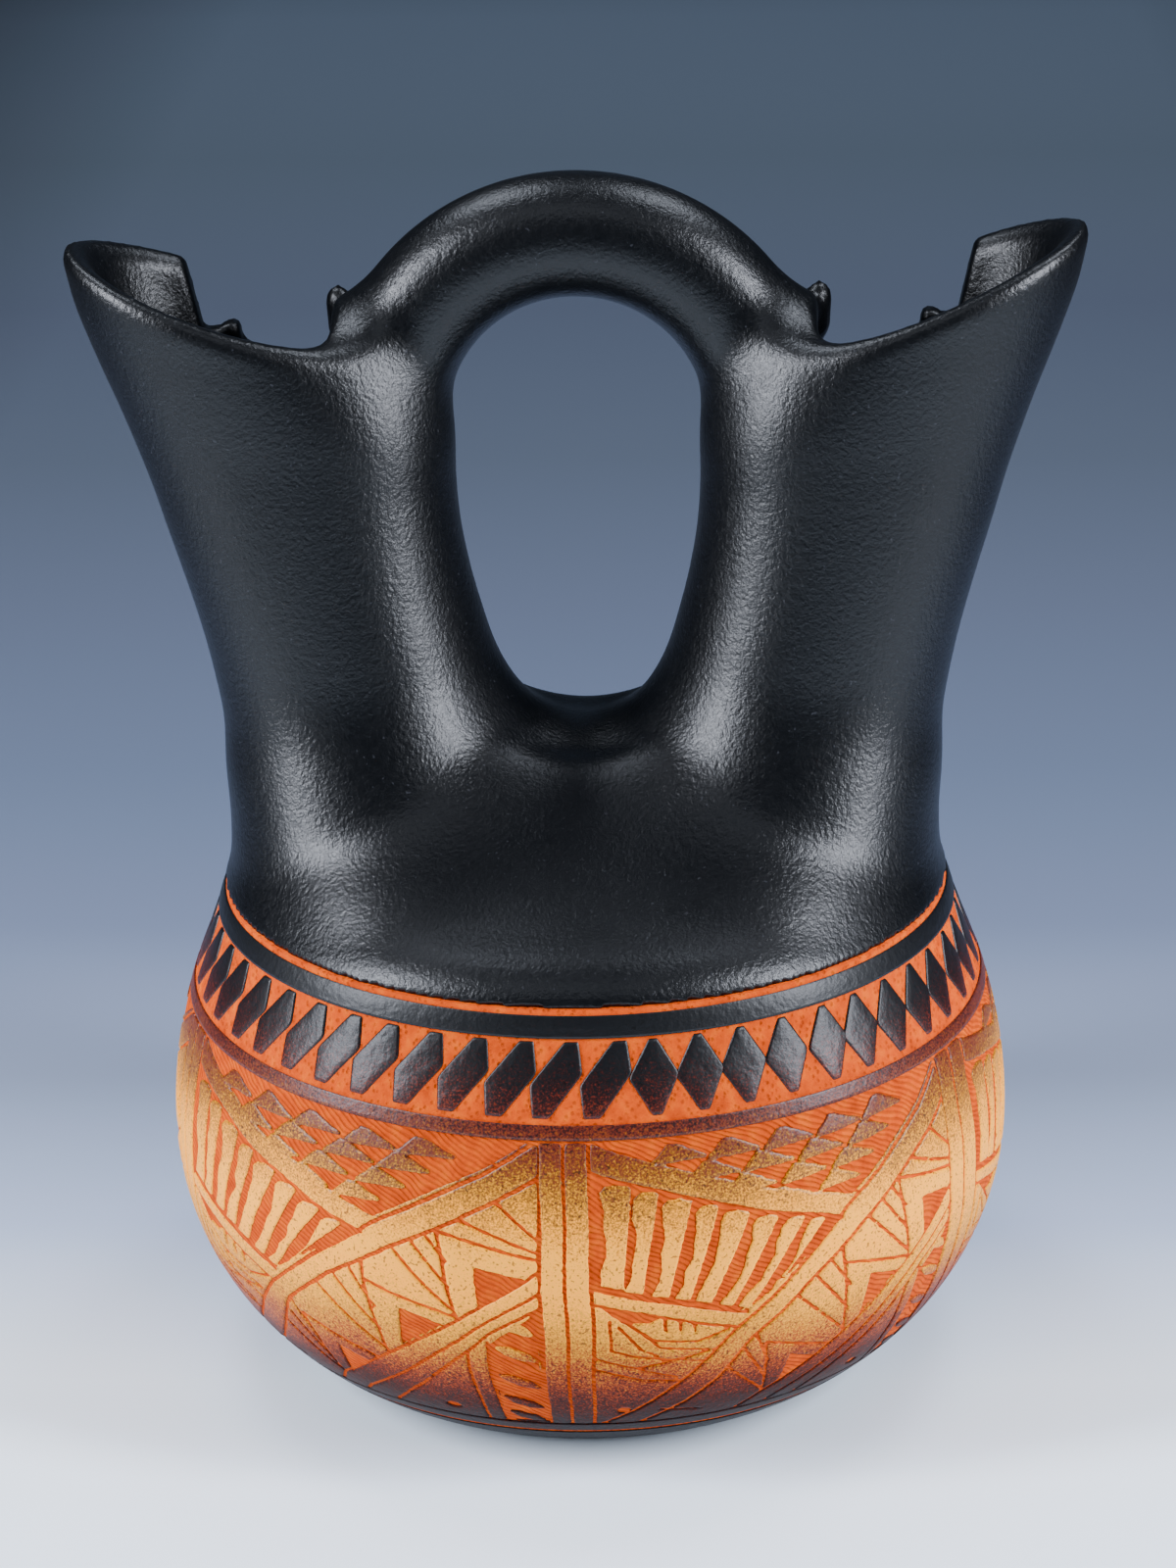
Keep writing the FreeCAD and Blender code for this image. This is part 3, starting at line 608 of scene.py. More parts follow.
# %% Strokes of the needle
BAND_TOP = (
    (1.5, 13.2), (6, 17.5), (13.6, 27.5), (20, 38.5), (29, 50),
    (38, 61), (45, 67.5), (52.5, 74), (59.8, 81.8))
BAND_LOW = (
    (7.8, 13.2), (14, 19.5), (18.4, 26), (22.9, 36.0), (31, 46.5),
    (40, 56), (46, 61.5), (54.5, 69), (60.5, 75))
STROKES = (
    (0.45, (-7.2, 80), (-7.0, 45), (-7.1, 12)), (0.40, (-3.6, 82), (-3.5, 12)), (0.42, (0, 83), (0.1, 12)),
    (0.45, (0, 75.5), (36.4, 58.4)), (0.45, *BAND_TOP), (0.45, *BAND_LOW),
    (0.45, (0, 51.5), (21.5, 42.6)), (0.40, (0, 48), (20, 39.4)),
    (0.40, (59.8, 55.2), (49.5, 42.5), (36.6, 28), (27, 17.5), (23.5, 13)),
    (0.40, (59.8, 50.4), (51.3, 40.5), (39, 24), (31, 15.5), (29, 13)),
    (0.40, (59.8, 46.8), (53, 39.5), (41, 21), (35, 13.3)),
    (0.40, (47, 62), (59.8, 57.6)), (0.38, (47, 62), (49.2, 42.8)),
    (0.40, (36.4, 52.2), (36.6, 48.3), (49, 43)), (0.38, (36.6, 48.3), (38.4, 30.2)),
    (0.40, (25, 33.5), (36.4, 28)), (0.38, (25, 33.5), (27, 18)),
    (0.35, (45.6, 60.6), (48.4, 55.5)), (0.35, (43.6, 58.9), (48.6, 50)), (0.35, (41, 56.4), (49, 44.4)),
    (0.35, (34.6, 49.6), (38, 42.2)), (0.35, (32, 47), (38.2, 36.4)), (0.35, (29, 43.5), (38.4, 31)),
    (0.35, (23.4, 36), (26, 27.8)), (0.35, (21.8, 33), (26.4, 22.8)), (0.35, (19.8, 28.5), (26.8, 18.6)),
    (0.35, (54.6, 69), (59.8, 61.6)), (0.35, (50, 64.8), (59.8, 59)),
    (0.40, (50.2, 34.6), (50.4, 13)), (0.40, (52.9, 37.8), (53.1, 13)),
    (0.35, (1.6, 47), (5, 42.2), (8.4, 38.3), (14.5, 37.2), (19, 39.2)),
    (0.35, (2.2, 44), (2.5, 36.2), (5.6, 34.6)), (0.35, (3.2, 42.6), (6.6, 36.2), (9, 34.4)),
    (0.35, (5.0, 42.6), (9.3, 36.4), (16.5, 34.6)), (0.32, (0, 34.4), (6, 31.4), (12, 27.6)),
    (0.32, (0, 31.6), (7, 28), (12.6, 26.4)), (0.32, (6, 31.4), (17, 34.4)),
    (0.32, (5.6, 34.6), (15.6, 31.6)), (0.30, (10.4, 17.6), (17.0, 15.8)))
print(len(STROKES), "strokes of the needle")

# %% [markdown]
# ## Scraped areas
# Inside a scraped area the potter leaves patches of slip standing: a fan of feathers with
# ragged edges, a lattice of small leaning triangles, and a ladder of leaves.

# %% Borders of the scraped areas
SCRAPED = {
    "field": [(0.2, 82.4), (0.2, 81.0), (38.2, 62.4), (45, 68.8), (52.5, 75.2), (58.6, 81.6), (59.6, 82.4)],
    "feathers": [(0.2, 75.2), (36.4, 58.2), (29, 51), (21.5, 43.0), (0.2, 51.6)],
    "chevron one": [(51.6, 55.4), (58.4, 53.4), (52.2, 45.9)],
    "chevron two": [(41.4, 43.4), (47.2, 40.6), (40.9, 33.4)],
    "chevron three": [(29.6, 28.2), (34.6, 25.6), (29.2, 19.0)],
    "leaves": [(53.3, 37.5), (59.6, 46.0), (59.6, 13.4), (53.3, 13.4)],
    "wedge": [(1.8, 47.0), (9.6, 43.9), (7.4, 42.6), (4.4, 43.2)],
    "cell one": [(9.5, 43.6), (9.9, 43.5), (10.2, 40.2), (9.6, 40.3)],
    "cell two": [(11.6, 42.8), (12.1, 42.6), (12.3, 39.8), (11.8, 39.9)],
    "cell three": [(13.6, 42.0), (14.1, 41.8), (14.3, 39.4), (13.8, 39.5)],
    "eye one": [(3.3, 18.2), (4.2, 19.1), (5.4, 18.9), (6.0, 18.0), (5.0, 17.1), (3.9, 17.3)],
    "eye two": [(44.3, 16.8), (45.2, 17.7), (46.3, 17.3), (46.9, 16.4), (45.9, 15.8), (44.9, 16.0)]}
print(len(SCRAPED), "scraped areas")

# %% [markdown]
# ## Fan of feathers
# Eight feathers hang in a fan from the upper stripe of the panel. The blade is pulled down
# one side and nicked on the other, so only the left edge is ragged. The nicks are random
# with a fixed seed.

# %% Feathers
FEATHERS = (
    ((4.2, 8.0), (1.2, 4.4)), ((8.6, 11.8), (4.4, 6.9)), ((12.6, 16.4), (7.9, 10.3)),
    ((17.2, 20.0), (10.9, 13.2)), ((20.6, 24.6), (13.7, 16.2)), ((25.2, 28.6), (17.2, 19.4)),
    ((29.4, 32.6), (20.0, 21.8)), ((33.2, 36.0), (22.4, 23.6)))
TEETH, MARGIN = 6, 1.2
FAN_TOP, FAN_FALL, FAN_FOOT, FOOT_FALL = 74.6, 0.235, 51.5, 0.414


def band_height(u):
    """Height of the band's upper edge, which the feathers stop short of."""
    return float(np.interp(u, [p[0] for p in BAND_TOP], [p[1] for p in BAND_TOP]))


def feathers(chance):
    """Patches of slip with a round top, a straight right edge and a ragged left edge."""
    patches = []
    for (tip_left, tip_right), (foot_left, foot_right) in FEATHERS:
        tip_z = FAN_TOP - FAN_FALL * (tip_left + tip_right - 5.6)
        tip_left, tip_right, foot_left = tip_left - 3.0, tip_right - 2.6, foot_left + 0.2
        foot_z = max(FAN_FOOT - FOOT_FALL * foot_left, band_height(foot_left)) + MARGIN
        right_z = max(foot_z - 0.8, band_height(foot_right) + MARGIN)
        left = []
        for step in range(1, TEETH):
            share = step / TEETH
            inwards = 0.9 * math.sin(share * math.pi) + chance.uniform(-0.45, 0.45)
            left.append((tip_left + (foot_left - tip_left) * share + inwards,
                         tip_z - 2 + (foot_z - tip_z + 2) * share))
        right = [(tip_right, tip_z - 0.6), (tip_right - 0.4, tip_z + 0.2)]
        top = [(tip_left + 0.9, tip_z), (tip_left + 0.1, tip_z - 1.2)]
        patches.append(right + top + left + [(foot_left, foot_z), (foot_right, right_z)])
    return patches


print(len(FEATHERS), "feathers with", TEETH - 1, "teeth each")

# %% [markdown]
# ## Lattice and ladder
# Small triangles stand in rows under the maroon strip, and five leaves climb between the
# last upright line and the right stripe. Each is one shape that is moved and set down again.

# %% Lattice and leaves
LATTICE_ROWS, LATTICE_AT, LATTICE_STEP, LATTICE_SHIFT = 5, (11.6, 78.2), 8.3, (5.2, 3.75)
TRIANGLE = ((-1.0, 2.0), (0.2, 1.9), (4.6, -0.9), (4.4, -1.4), (-3.6, -2.0), (-3.4, -1.2))
LEAF_U, LEAVES = 56.6, ((41.5, 2.4), (35.0, 3.0), (27.4, 3.0), (20.6, 3.0), (15.4, 2.8))


def lattice(chance):
    """Rows of small leaning triangles, one fewer in each row down."""
    patches = []
    for row in range(LATTICE_ROWS):
        size = 1.0 - 0.04 * row
        for place in range(LATTICE_ROWS - row):
            u = LATTICE_AT[0] + LATTICE_STEP * place + LATTICE_SHIFT[0] * row + chance.uniform(-0.3, 0.3)
            z = LATTICE_AT[1] - LATTICE_SHIFT[1] * row + chance.uniform(-0.2, 0.2)
            patches.append([(u + a * size, z + b * size) for a, b in TRIANGLE])
    return patches


def leaves():
    """Leaning leaves of slip between the upright lines and the right stripe."""
    return [[(LEAF_U - length, z + 1.9), (LEAF_U - 1, z + 1.7), (LEAF_U + 1.4, z + 0.4),
             (LEAF_U + length, z - 1.9), (LEAF_U + 0.6, z - 1.5), (LEAF_U - 1.6, z - 0.2)]
            for z, length in LEAVES]


print(sum(range(LATTICE_ROWS + 1)), "triangles and", len(leaves()), "leaves")

# %% [markdown]
# ## How far inside the slip
# A number for each place says how far it lies from the nearest cut: positive in the slip,
# negative in the clay. A few crossed waves bend every line a little, as a hand does.


# %% Distance to a stroke, and a wobble
def stroke_distance(x, y, corners):
    """Distance to a line through the corners."""
    nearest = np.full(x.shape, 1e9)
    for (ax, ay), (bx, by) in zip(corners, corners[1:]):
        length = (bx - ax) ** 2 + (by - ay) ** 2
        t = np.clip(((x - ax) * (bx - ax) + (y - ay) * (by - ay)) / length, 0, 1)
        nearest = np.minimum(nearest, np.hypot(x - ax - t * (bx - ax), y - ay - t * (by - ay)))
    return nearest


def wobble(x, y, size, chance):
    """Gentle unevenness from a few crossed waves, about -1 to 1."""
    total = np.zeros(x.shape)
    for _ in range(7):
        turn, phase = chance.uniform(0, 2 * np.pi, 2)
        length = size * chance.uniform(0.6, 1.5)
        total += np.sin((x * np.cos(turn) + y * np.sin(turn)) * 2 * np.pi / length + phase)
    return total / 4


beside = stroke_distance(np.array([3.0]), np.array([5.0]), ((0, 0), (0, 10)))
print("a place beside an upright stroke is", float(beside[0]), "mm from it")

# %% [markdown]
# ## The whole panel
# Each stroke takes away slip along its line. A scraped area takes away all of it, apart
# from the patches that are left inside. The drawing sways slowly, as a hand does, and its
# borders shake a little, as a blade does in dry clay.

# %% Field of a panel
HAND_SWAY, HAND_WAVES, UNCUT = 0.30, (26, 22), 20.0
BLADE_SHAKE = ((0.10, 2.6), (0.06, 1.3))


def panel_field(x, y, scale, chance):
    """How far each place lies inside the slip, in mm; negative where the slip is cut away."""
    x = x + HAND_SWAY * wobble(x, y, HAND_WAVES[0], chance)
    y = y + HAND_SWAY * wobble(x, y, HAND_WAVES[1], chance)
    patches = {"field": lattice(chance), "feathers": feathers(chance), "leaves": leaves()}

    def flat(corners):
        return [(u * scale, float(run_at(z))) for u, z in corners]

    inside = np.full(x.shape, UNCUT)
    for half_width, *corners in STROKES:
        inside = np.minimum(inside, stroke_distance(x, y, flat(corners)) - half_width)
    for name, border in SCRAPED.items():
        clear = polygon_distance(x, y, flat(border))
        for patch in patches.get(name, ()):
            clear = np.maximum(clear, -polygon_distance(x, y, flat(patch)))
        inside = np.minimum(inside, clear)
    return inside + sum(reach * wobble(x, y, size, chance) for reach, size in BLADE_SHAKE)


print("the hand sways by about", HAND_SWAY, "mm")

# %% [markdown]
# ## From the field to raised slip
# The panel is unrolled on a fine grid. Grid cells inside the slip become its face, and where
# the border crosses a cell, its place is worked out along the cell's sides, so lines stay
# crisp. A low wall joins the border to the clay.

# %% Faces of the slip
CELL = 0.5


def slip_faces(inside):
    """Faces, their spots on the grid with the field there, and how many spots are on top."""
    number, spots, faces, edges = {}, [], [], []
    positive = inside > 0

    def corner(i, j):
        if (i, j) not in number:
            number[i, j] = len(spots)
            spots.append((i, j, inside[i, j]))
        return number[i, j]

    def crossing(a, b):
        (i, j), (k, m) = key = (min(a, b), max(a, b))
        if key not in number:
            t = inside[i, j] / (inside[i, j] - inside[k, m])
            number[key] = len(spots)
            spots.append((i + (k - i) * t, j + (m - j) * t, 0.0))
        return number[key]

    count = positive[:-1, :-1].astype(int) + positive[1:, :-1] + positive[1:, 1:] + positive[:-1, 1:]
    for i, j in np.argwhere(count == 4).tolist():
        faces.append((corner(i, j), corner(i + 1, j), corner(i + 1, j + 1), corner(i, j + 1)))
    for i, j in np.argwhere((count > 0) & (count < 4)).tolist():
        ring = ((i, j), (i + 1, j), (i + 1, j + 1), (i, j + 1))
        shape, kinds = [], []
        for a, b in zip(ring, ring[1:] + ring[:1]):
            if positive[a]:
                shape.append(corner(*a))
                kinds.append("in")
            if positive[a] != positive[b]:
                shape.append(crossing(a, b))
                kinds.append("out" if positive[a] else "back")
        if len(shape) > 2:
            faces.append(tuple(shape))
        sides = zip(shape, shape[1:] + shape[:1], kinds, kinds[1:] + kinds[:1])
        edges += [(a, b) for a, b, k, m in sides if (k, m) == ("out", "back")]
    low = sorted({a for edge in edges for a in edge})
    below = {spot: len(spots) + place for place, spot in enumerate(low)}
    faces += [(a, below[a], below[b], b) for a, b in edges]
    return faces, np.array(spots + [spots[i] for i in low]), len(spots)


print("grid cells of", CELL, "mm")

# %% [markdown]
# ## Laying the slip on the bowl
# Each spot of the grid goes to its azimuth and its distance up the outline. The border
# sinks a tenth of a millimetre and its normals lean outwards, so that the edge looks rubbed.

# %% Raised slip
EDGE_WIDTH, EDGE_DROP, EDGE_TILT, WALL_TILT = 0.45, 0.10, 0.8, 3.0


def raised(name, azimuths, runs, inside):
    """Mesh of the slip where the field is positive, over a grid of azimuth and run."""
    faces, spots, top_count = slip_faces(inside)
    nu, nv = inside.shape
    i, j = (np.clip(spots[:, k].astype(int), 0, n - 2) for k, n in ((0, nu), (1, nv)))
    azimuth = azimuths[i] + (azimuths[i + 1] - azimuths[i]) * (spots[:, 0] - i)
    run = runs[j] + (runs[j + 1] - runs[j]) * (spots[:, 1] - j)
    near = np.clip(1 - spots[:, 2] / EDGE_WIDTH, 0, 1)
    wall = np.arange(len(spots)) >= top_count
    points = on_skin(azimuth, run, np.where(wall, -CUT_DEPTH - 0.1, -EDGE_DROP * near ** 2))
    slope_u, slope_v = np.gradient(inside, CELL)
    size = np.maximum(np.hypot(slope_u, slope_v), 1e-6)
    spot = tuple(np.rint(spots[:, k]).astype(int) for k in (0, 1))
    turn = np.radians(azimuth)
    around = np.stack([np.cos(turn), np.sin(turn), np.zeros(len(turn))], -1)
    out, up = (np.interp(run, SKIN_RUN, SKIN[:, k]) for k in (2, 3))
    skin = np.stack([out * np.sin(turn), -out * np.cos(turn), up], -1)
    along = np.cross(skin, around)
    outwards = -(slope_u / size)[spot][:, None] * around - (slope_v / size)[spot][:, None] * along
    normal = skin + np.where(wall, WALL_TILT, EDGE_TILT * near)[:, None] * outwards
    normal /= np.linalg.norm(normal, axis=1, keepdims=True)
    add_piece(name, points, faces, SLIP, normal)


print("the slip stands", CUT_DEPTH, "mm above the clay")

# %% [markdown]
# ## Five panels
# The panels were divided by eye, so they differ in width. Each is drawn with its own seed,
# from its double stripe to the next panel's, and runs on round the whole bowl.

# %% Five panels
PANELS = ((-67.4, -4.5), (2.1, 59.3), (66.1, 133.6), (140.4, 208.8), (215.6, 284.4))
PANEL_FROM, PANEL_TO, PANEL_UNITS, STRIPES, REACH = 13.0, 81.4, 60, 7.1, 85.0
run = np.arange(run_at(PANEL_FROM), run_at(PANEL_TO), CELL)
for index, (left, right) in enumerate(PANELS):
    chance = np.random.default_rng(40 + index)
    next_left, next_right = np.array(PANELS[(index + 1) % 5]) + (360 if index == 4 else 0)
    first = left - STRIPES / PANEL_UNITS * (right - left)
    last = next_left - STRIPES / PANEL_UNITS * (next_right - next_left)
    along = np.arange(math.radians(first - left) * REACH, math.radians(last - left) * REACH, CELL)
    scale = math.radians((right - left) / PANEL_UNITS) * REACH
    inside = panel_field(*np.meshgrid(along, run, indexing="ij"), scale, chance)
    inside[[0, -1]] = -0.2
    inside[:, [0, -1]] = -0.2
    raised(f"panel_{index + 1}_slip", left + np.degrees(along / REACH), run, inside)

# %% [markdown]
# ## The free-form upper body
# A potter smears every joint until nothing shows, so the saddle, necks, spouts and handle
# flow into each other. That is easiest to describe as one field of distances, negative
# inside the clay: forms are joined with a soft minimum, and cut with a soft maximum. The
# stations give height, inner edge, outer edge and half depth of the right neck.

# %% Sizes of the upper body
STATIONS = np.array((
    (108.0, -2.0, 73.4, 48.5), (121.0, 7.2, 72.2, 37.8), (130.0, 12.2, 72.6, 33.0),
    (140.4, 15.9, 73.6, 30.6), (150.8, 18.1, 76.1, 29.1), (161.1, 20.1, 78.7, 28.6),
    (171.5, 22.5, 81.6, 28.0), (181.9, 24.4, 84.7, 27.4), (192.2, 25.7, 87.7, 26.9),
    (200.0, 26.2, 90.4, 26.6), (207.8, 28.0, 93.3, 26.6), (215.6, 31.4, 96.4, 26.6),
    (222.0, 35.0, 98.8, 26.6), (228.5, 38.9, 101.0, 26.9), (237.6, 44.0, 103.0, 27.2),
    (262.0, 58.0, 108.5, 28.0)))
CROTCH_Z, CROTCH_FADE = 138.6, 40.0
RIM_LOW, RIM_TOP, RIM_IN, RIM_OUT, RIM_SAG = 224.6, 241.0, 52.0, 103.0, 1.7
HANDLE_PATH, HANDLE_TUBE, HANDLE_FOOT = 38.9, 12.6, 180.0
HANDLE_Z = round(cad_box[1][2] / MM, 1) - HANDLE_PATH - HANDLE_TUBE
HORN_LOW, HORN_TIP, HORN_BASE, HORN_TAPER = (47.6, 19.0, 219.5), (49.6, 18.0, 226.0), 4.2, 0.62
NOTCH = (
    (84.6, 245.0), (78.0, 217.6), (74.4, 217.5), (74.0, 218.5), (70.8, 218.7), (70.3, 214.8),
    (66.8, 212.7), (63.2, 201.7), (47.7, 196.7), (49.3, 201.7), (44.3, 200.1), (57.3, 245.0))
GRID = 1.1
print("the handle turns about a point", round(HANDLE_Z, 1), "mm up")

# %% [markdown]
# ## Soft joins
# A soft minimum is a smeared joint: it fills the corner between two forms over a given
# width. A smooth curve through the stations keeps the necks free of kinks.


# %% Soft joins
def soft_min(one, two, width):
    """The smaller of two distances, rounded where they are alike."""
    near = np.clip(width - np.abs(one - two), 0, None) / width
    return np.minimum(one, two) - near * near * width / 4


def soft_max(one, two, width):
    """The larger of two distances, rounded where they are alike."""
    return -soft_min(-one, -two, width)


def smooth_through(heights, values, at):
    """A smooth curve through the stations, with the slope of its neighbours at each."""
    slopes = np.gradient(values, heights)
    index = np.clip(np.searchsorted(heights, at) - 1, 0, len(heights) - 2)
    span = heights[index + 1] - heights[index]
    t = (at - heights[index]) / span
    rise = values[index + 1] - values[index]
    one, two = slopes[index] * span, slopes[index + 1] * span
    return values[index] + t * one + t ** 2 * (3 * rise - 2 * one - two) + t ** 3 * (one + two - 2 * rise)


print("a join 4 mm wide fills", float(-soft_min(np.zeros(1), np.zeros(1), 4.0)[0]), "mm where two forms meet")

# %% [markdown]
# ## Necks and crotch
# Each neck is an oval tube between its inner and outer edge, flatter towards its outer side.
# Left and right are one form and its mirror. Over the crotch they are joined more and more
# softly, so the hole under the handle ends in a round U.

# %% Distance to the necks
TAPER, TAPER_FROM, TAPER_RUN = 0.16, 108, 130
SINK, SINK_BELOW, LEAST_SLOPE = 2.8, 104, 12.0


def neck_square(x, z, inset):
    """Square of the half depth of the right neck at each (x, z), walls moved in by the inset."""
    inner, outer, depth = (smooth_through(STATIONS[:, 0], STATIONS[:, i], z) for i in (1, 2, 3))
    inner, outer, depth = inner + inset, outer - inset, depth - inset
    across = (2 * x - inner - outer) / (outer - inner)
    share = np.clip((z - TAPER_FROM) / TAPER_RUN, 0, 1)
    return depth ** 2 * (1 - across ** 2) * (1 - TAPER * share * np.clip(across, -1, 1))


def necks_distance(x, y, z, inset):
    """Distance to both necks, softly joined over the crotch."""
    flat_x, flat_z = x[:, 0, 0][:, None], z[0, 0, :][None, :]
    right = neck_square(flat_x, np.repeat(flat_z, len(flat_x), axis=0), inset)
    left = right[::-1]
    reach = -2 * neck_square(np.array([[0.0]]), np.array([[CROTCH_Z]]), 0.0)[0, 0]
    rise = (flat_z - CROTCH_Z) / CROTCH_FADE
    fade = np.where(rise > 0, np.clip(1 - rise, 0, 1) ** 2, 1 + 0.5 * (1 - np.exp(np.minimum(4 * rise, 0))))
    form = (right + left + np.hypot(right - left, reach * fade)) / 2
    form -= (SINK * np.clip(SINK_BELOW - flat_z, 0, None)) ** 2
    slope_x, slope_z = np.gradient(form, flat_x[1, 0] - flat_x[0, 0])
    size = np.sqrt((slope_x ** 2 + slope_z ** 2)[:, None, :] + 4 * y ** 2)
    return -(form[:, None, :] - y ** 2) / np.maximum(size, LEAST_SLOPE)


print(len(STATIONS), "stations up the neck")

# %% [markdown]
# ## Dome, horn and rim
# The dome closes the bowl under the necks. A small horn of clay stands beside each root of
# the handle. The rims rise outwards in a shallow curve.

# %% Distance to the dome and the horn
DOME_LOW, DOME_REACH, DOME_STEPS = 88.0, 20.0, 130


def dome_distance(radius, z, inset):
    """Distance to the shoulder's dome, from a table over radius and height."""
    rows = outline(inset, 1.5)
    rows = rows[rows[:, 1] > DOME_LOW]
    corners = [(-DOME_REACH, DOME_LOW)] + [tuple(r) for r in rows[:, :2]] + [(-DOME_REACH, rows[-1, 1])]
    table = polygon_distance(np.arange(DOME_STEPS)[:, None], z[0, 0, :][None, :], corners)
    spot = np.clip(radius[:, :, 0], 0, DOME_STEPS - 2)
    index = spot.astype(int)
    part = (spot - index)[:, :, None]
    return table[index] * (1 - part) + table[index + 1] * part


def horn_distance(x, y, z):
    """Distance to the small horn beside the handle, a cone with a rounded tip."""
    low, along = np.array(HORN_LOW), np.subtract(HORN_TIP, HORN_LOW)
    from_low = [a - b for a, b in zip((x, y, z), low)]
    t = np.clip(sum(a * b for a, b in zip(from_low, along)) / (along @ along), 0, 1)
    away = np.sqrt(sum((a - t * b) ** 2 for a, b in zip(from_low, along)))
    return away - HORN_BASE * (1 - HORN_TAPER * t)


def rim_height(x):
    """Height of the rim's sloping plane at a distance from the middle."""
    share = (x - RIM_IN) / (RIM_OUT - RIM_IN)
    return RIM_LOW + (RIM_TOP - RIM_LOW) * share - 4 * RIM_SAG * share * (1 - share)


print("rim from", RIM_LOW, "to", round(rim_height(RIM_OUT), 1), "mm")

# %% [markdown]
# ## The whole upper body
# Outer forms less inner forms leave the wall. The rim cuts it off above, the notch cuts its
# back, and the handle and the horns are smeared on last. Widths of joins are in mm: the
# necks meet the dome tightly at the sides and swell softly at front and back.

# %% Field of the upper body
SIDE_JOIN, FRONT_JOIN, JOIN_RISE, ROOM_JOIN, NECK_DEPTH = 3, 15, 16, 10, 26
FRONT_SHARES, RIM_SLANT = (0.30, 0.55), 1.06
LEG_SHARES, LEG_JOIN, LEG_FLARE, LEG_INNER, LEG_RUN = (0.09, 0.2), 5, 11, 20, 30
EDGE_ROUND, RIM_ROUND, ROOM_ROUND, HORN_JOIN = 1.0, 4.0, 3.0, 3.0


def upper_body(x, y, z):
    """Distance field of the whole upper body, and the handle's own distance less the wall's."""
    radius, side = np.hypot(x, y), np.abs(x)
    facing = eased((np.abs(y) / np.maximum(radius, NECK_DEPTH) - FRONT_SHARES[0]) / FRONT_SHARES[1])
    width = SIDE_JOIN + FRONT_JOIN * facing * eased((z - RING_Z) / JOIN_RISE)
    outer = soft_min(dome_distance(radius, z, 0), necks_distance(x, y, z, 0), width)
    inner = soft_min(dome_distance(radius, z, WALL), necks_distance(x, y, z, WALL), ROOM_JOIN)
    rim = (z - rim_height(side)) / RIM_SLANT
    down = np.clip(HANDLE_Z - z, 0, None)
    leg = side - HANDLE_PATH + LEG_SHARES[0] * down
    arch = np.where(z > HANDLE_Z, np.hypot(x, z - HANDLE_Z) - HANDLE_PATH, leg)
    handle = np.maximum(np.hypot(arch, y) - HANDLE_TUBE + LEG_SHARES[1] * down, HANDLE_FOOT - z)
    handle = soft_max(handle, -np.maximum(inner, rim + EDGE_ROUND), ROOM_ROUND)
    wall = soft_max(soft_max(outer, -inner, EDGE_ROUND), rim, RIM_ROUND)
    notch = polygon_distance(side[:, :1, :], z[:, :1, :], list(NOTCH))
    wall = soft_max(wall, -np.maximum(notch, -y), EDGE_ROUND)
    body = soft_min(wall, handle, LEG_JOIN + LEG_FLARE * eased((side - LEG_INNER) / LEG_RUN))
    body = soft_min(body, horn_distance(side, y, z), HORN_JOIN)
    return np.maximum(body, RING_Z + 0.1 - z), handle - wall


FIELD_HALF, FIELD_DEPTH, FIELD_TOP = 108, 84, 259
half = math.ceil(FIELD_HALF / GRID) * GRID
axes = [np.arange(-half, half + GRID / 2, GRID), np.arange(-FIELD_DEPTH, FIELD_DEPTH, GRID) + 0.01,
        np.arange(RING_Z - 1, FIELD_TOP, GRID)]
grid_x, grid_y, grid_z = np.meshgrid(*axes, indexing="ij")
field, handle_share = upper_body(grid_x, grid_y, grid_z)
print("field of", field.shape, "places")

# %% [markdown]
# ## Wiping it with a wet sponge
# Before the clay dries, a sponge takes away every ridge of the joints. The field is
# averaged with its neighbours a few times, below the handle and above the ring line.

# %% Smoothed field
SPONGE_PASSES, CALM_TOP, CALM_FADE, CALM_LOW, CALM_RISE = 5, 200, 30, 4, 5
smooth = field.copy()
for axis in (0, 1, 2) * SPONGE_PASSES:
    inner, before, after = ([slice(None)] * 3 for _ in range(3))
    inner[axis], before[axis], after[axis] = slice(1, -1), slice(0, -2), slice(2, None)
    smooth[tuple(inner)] = (smooth[tuple(before)] + 2 * smooth[tuple(inner)] + smooth[tuple(after)]) / 4
calm = eased((CALM_TOP - grid_z) / CALM_FADE) * eased((grid_z - RING_Z - CALM_LOW) / CALM_RISE)
print("the sponge moves the field by up to", round(float(np.abs((smooth - field) * calm).max()), 2), "mm")
field = field + (smooth - field) * calm

# %% [markdown]
# ## From the field to a mesh
# Every grid cell that the surface passes through gets one point, at the middle of the
# places where its edges cross the surface. Neighbouring cells are then joined by quads.


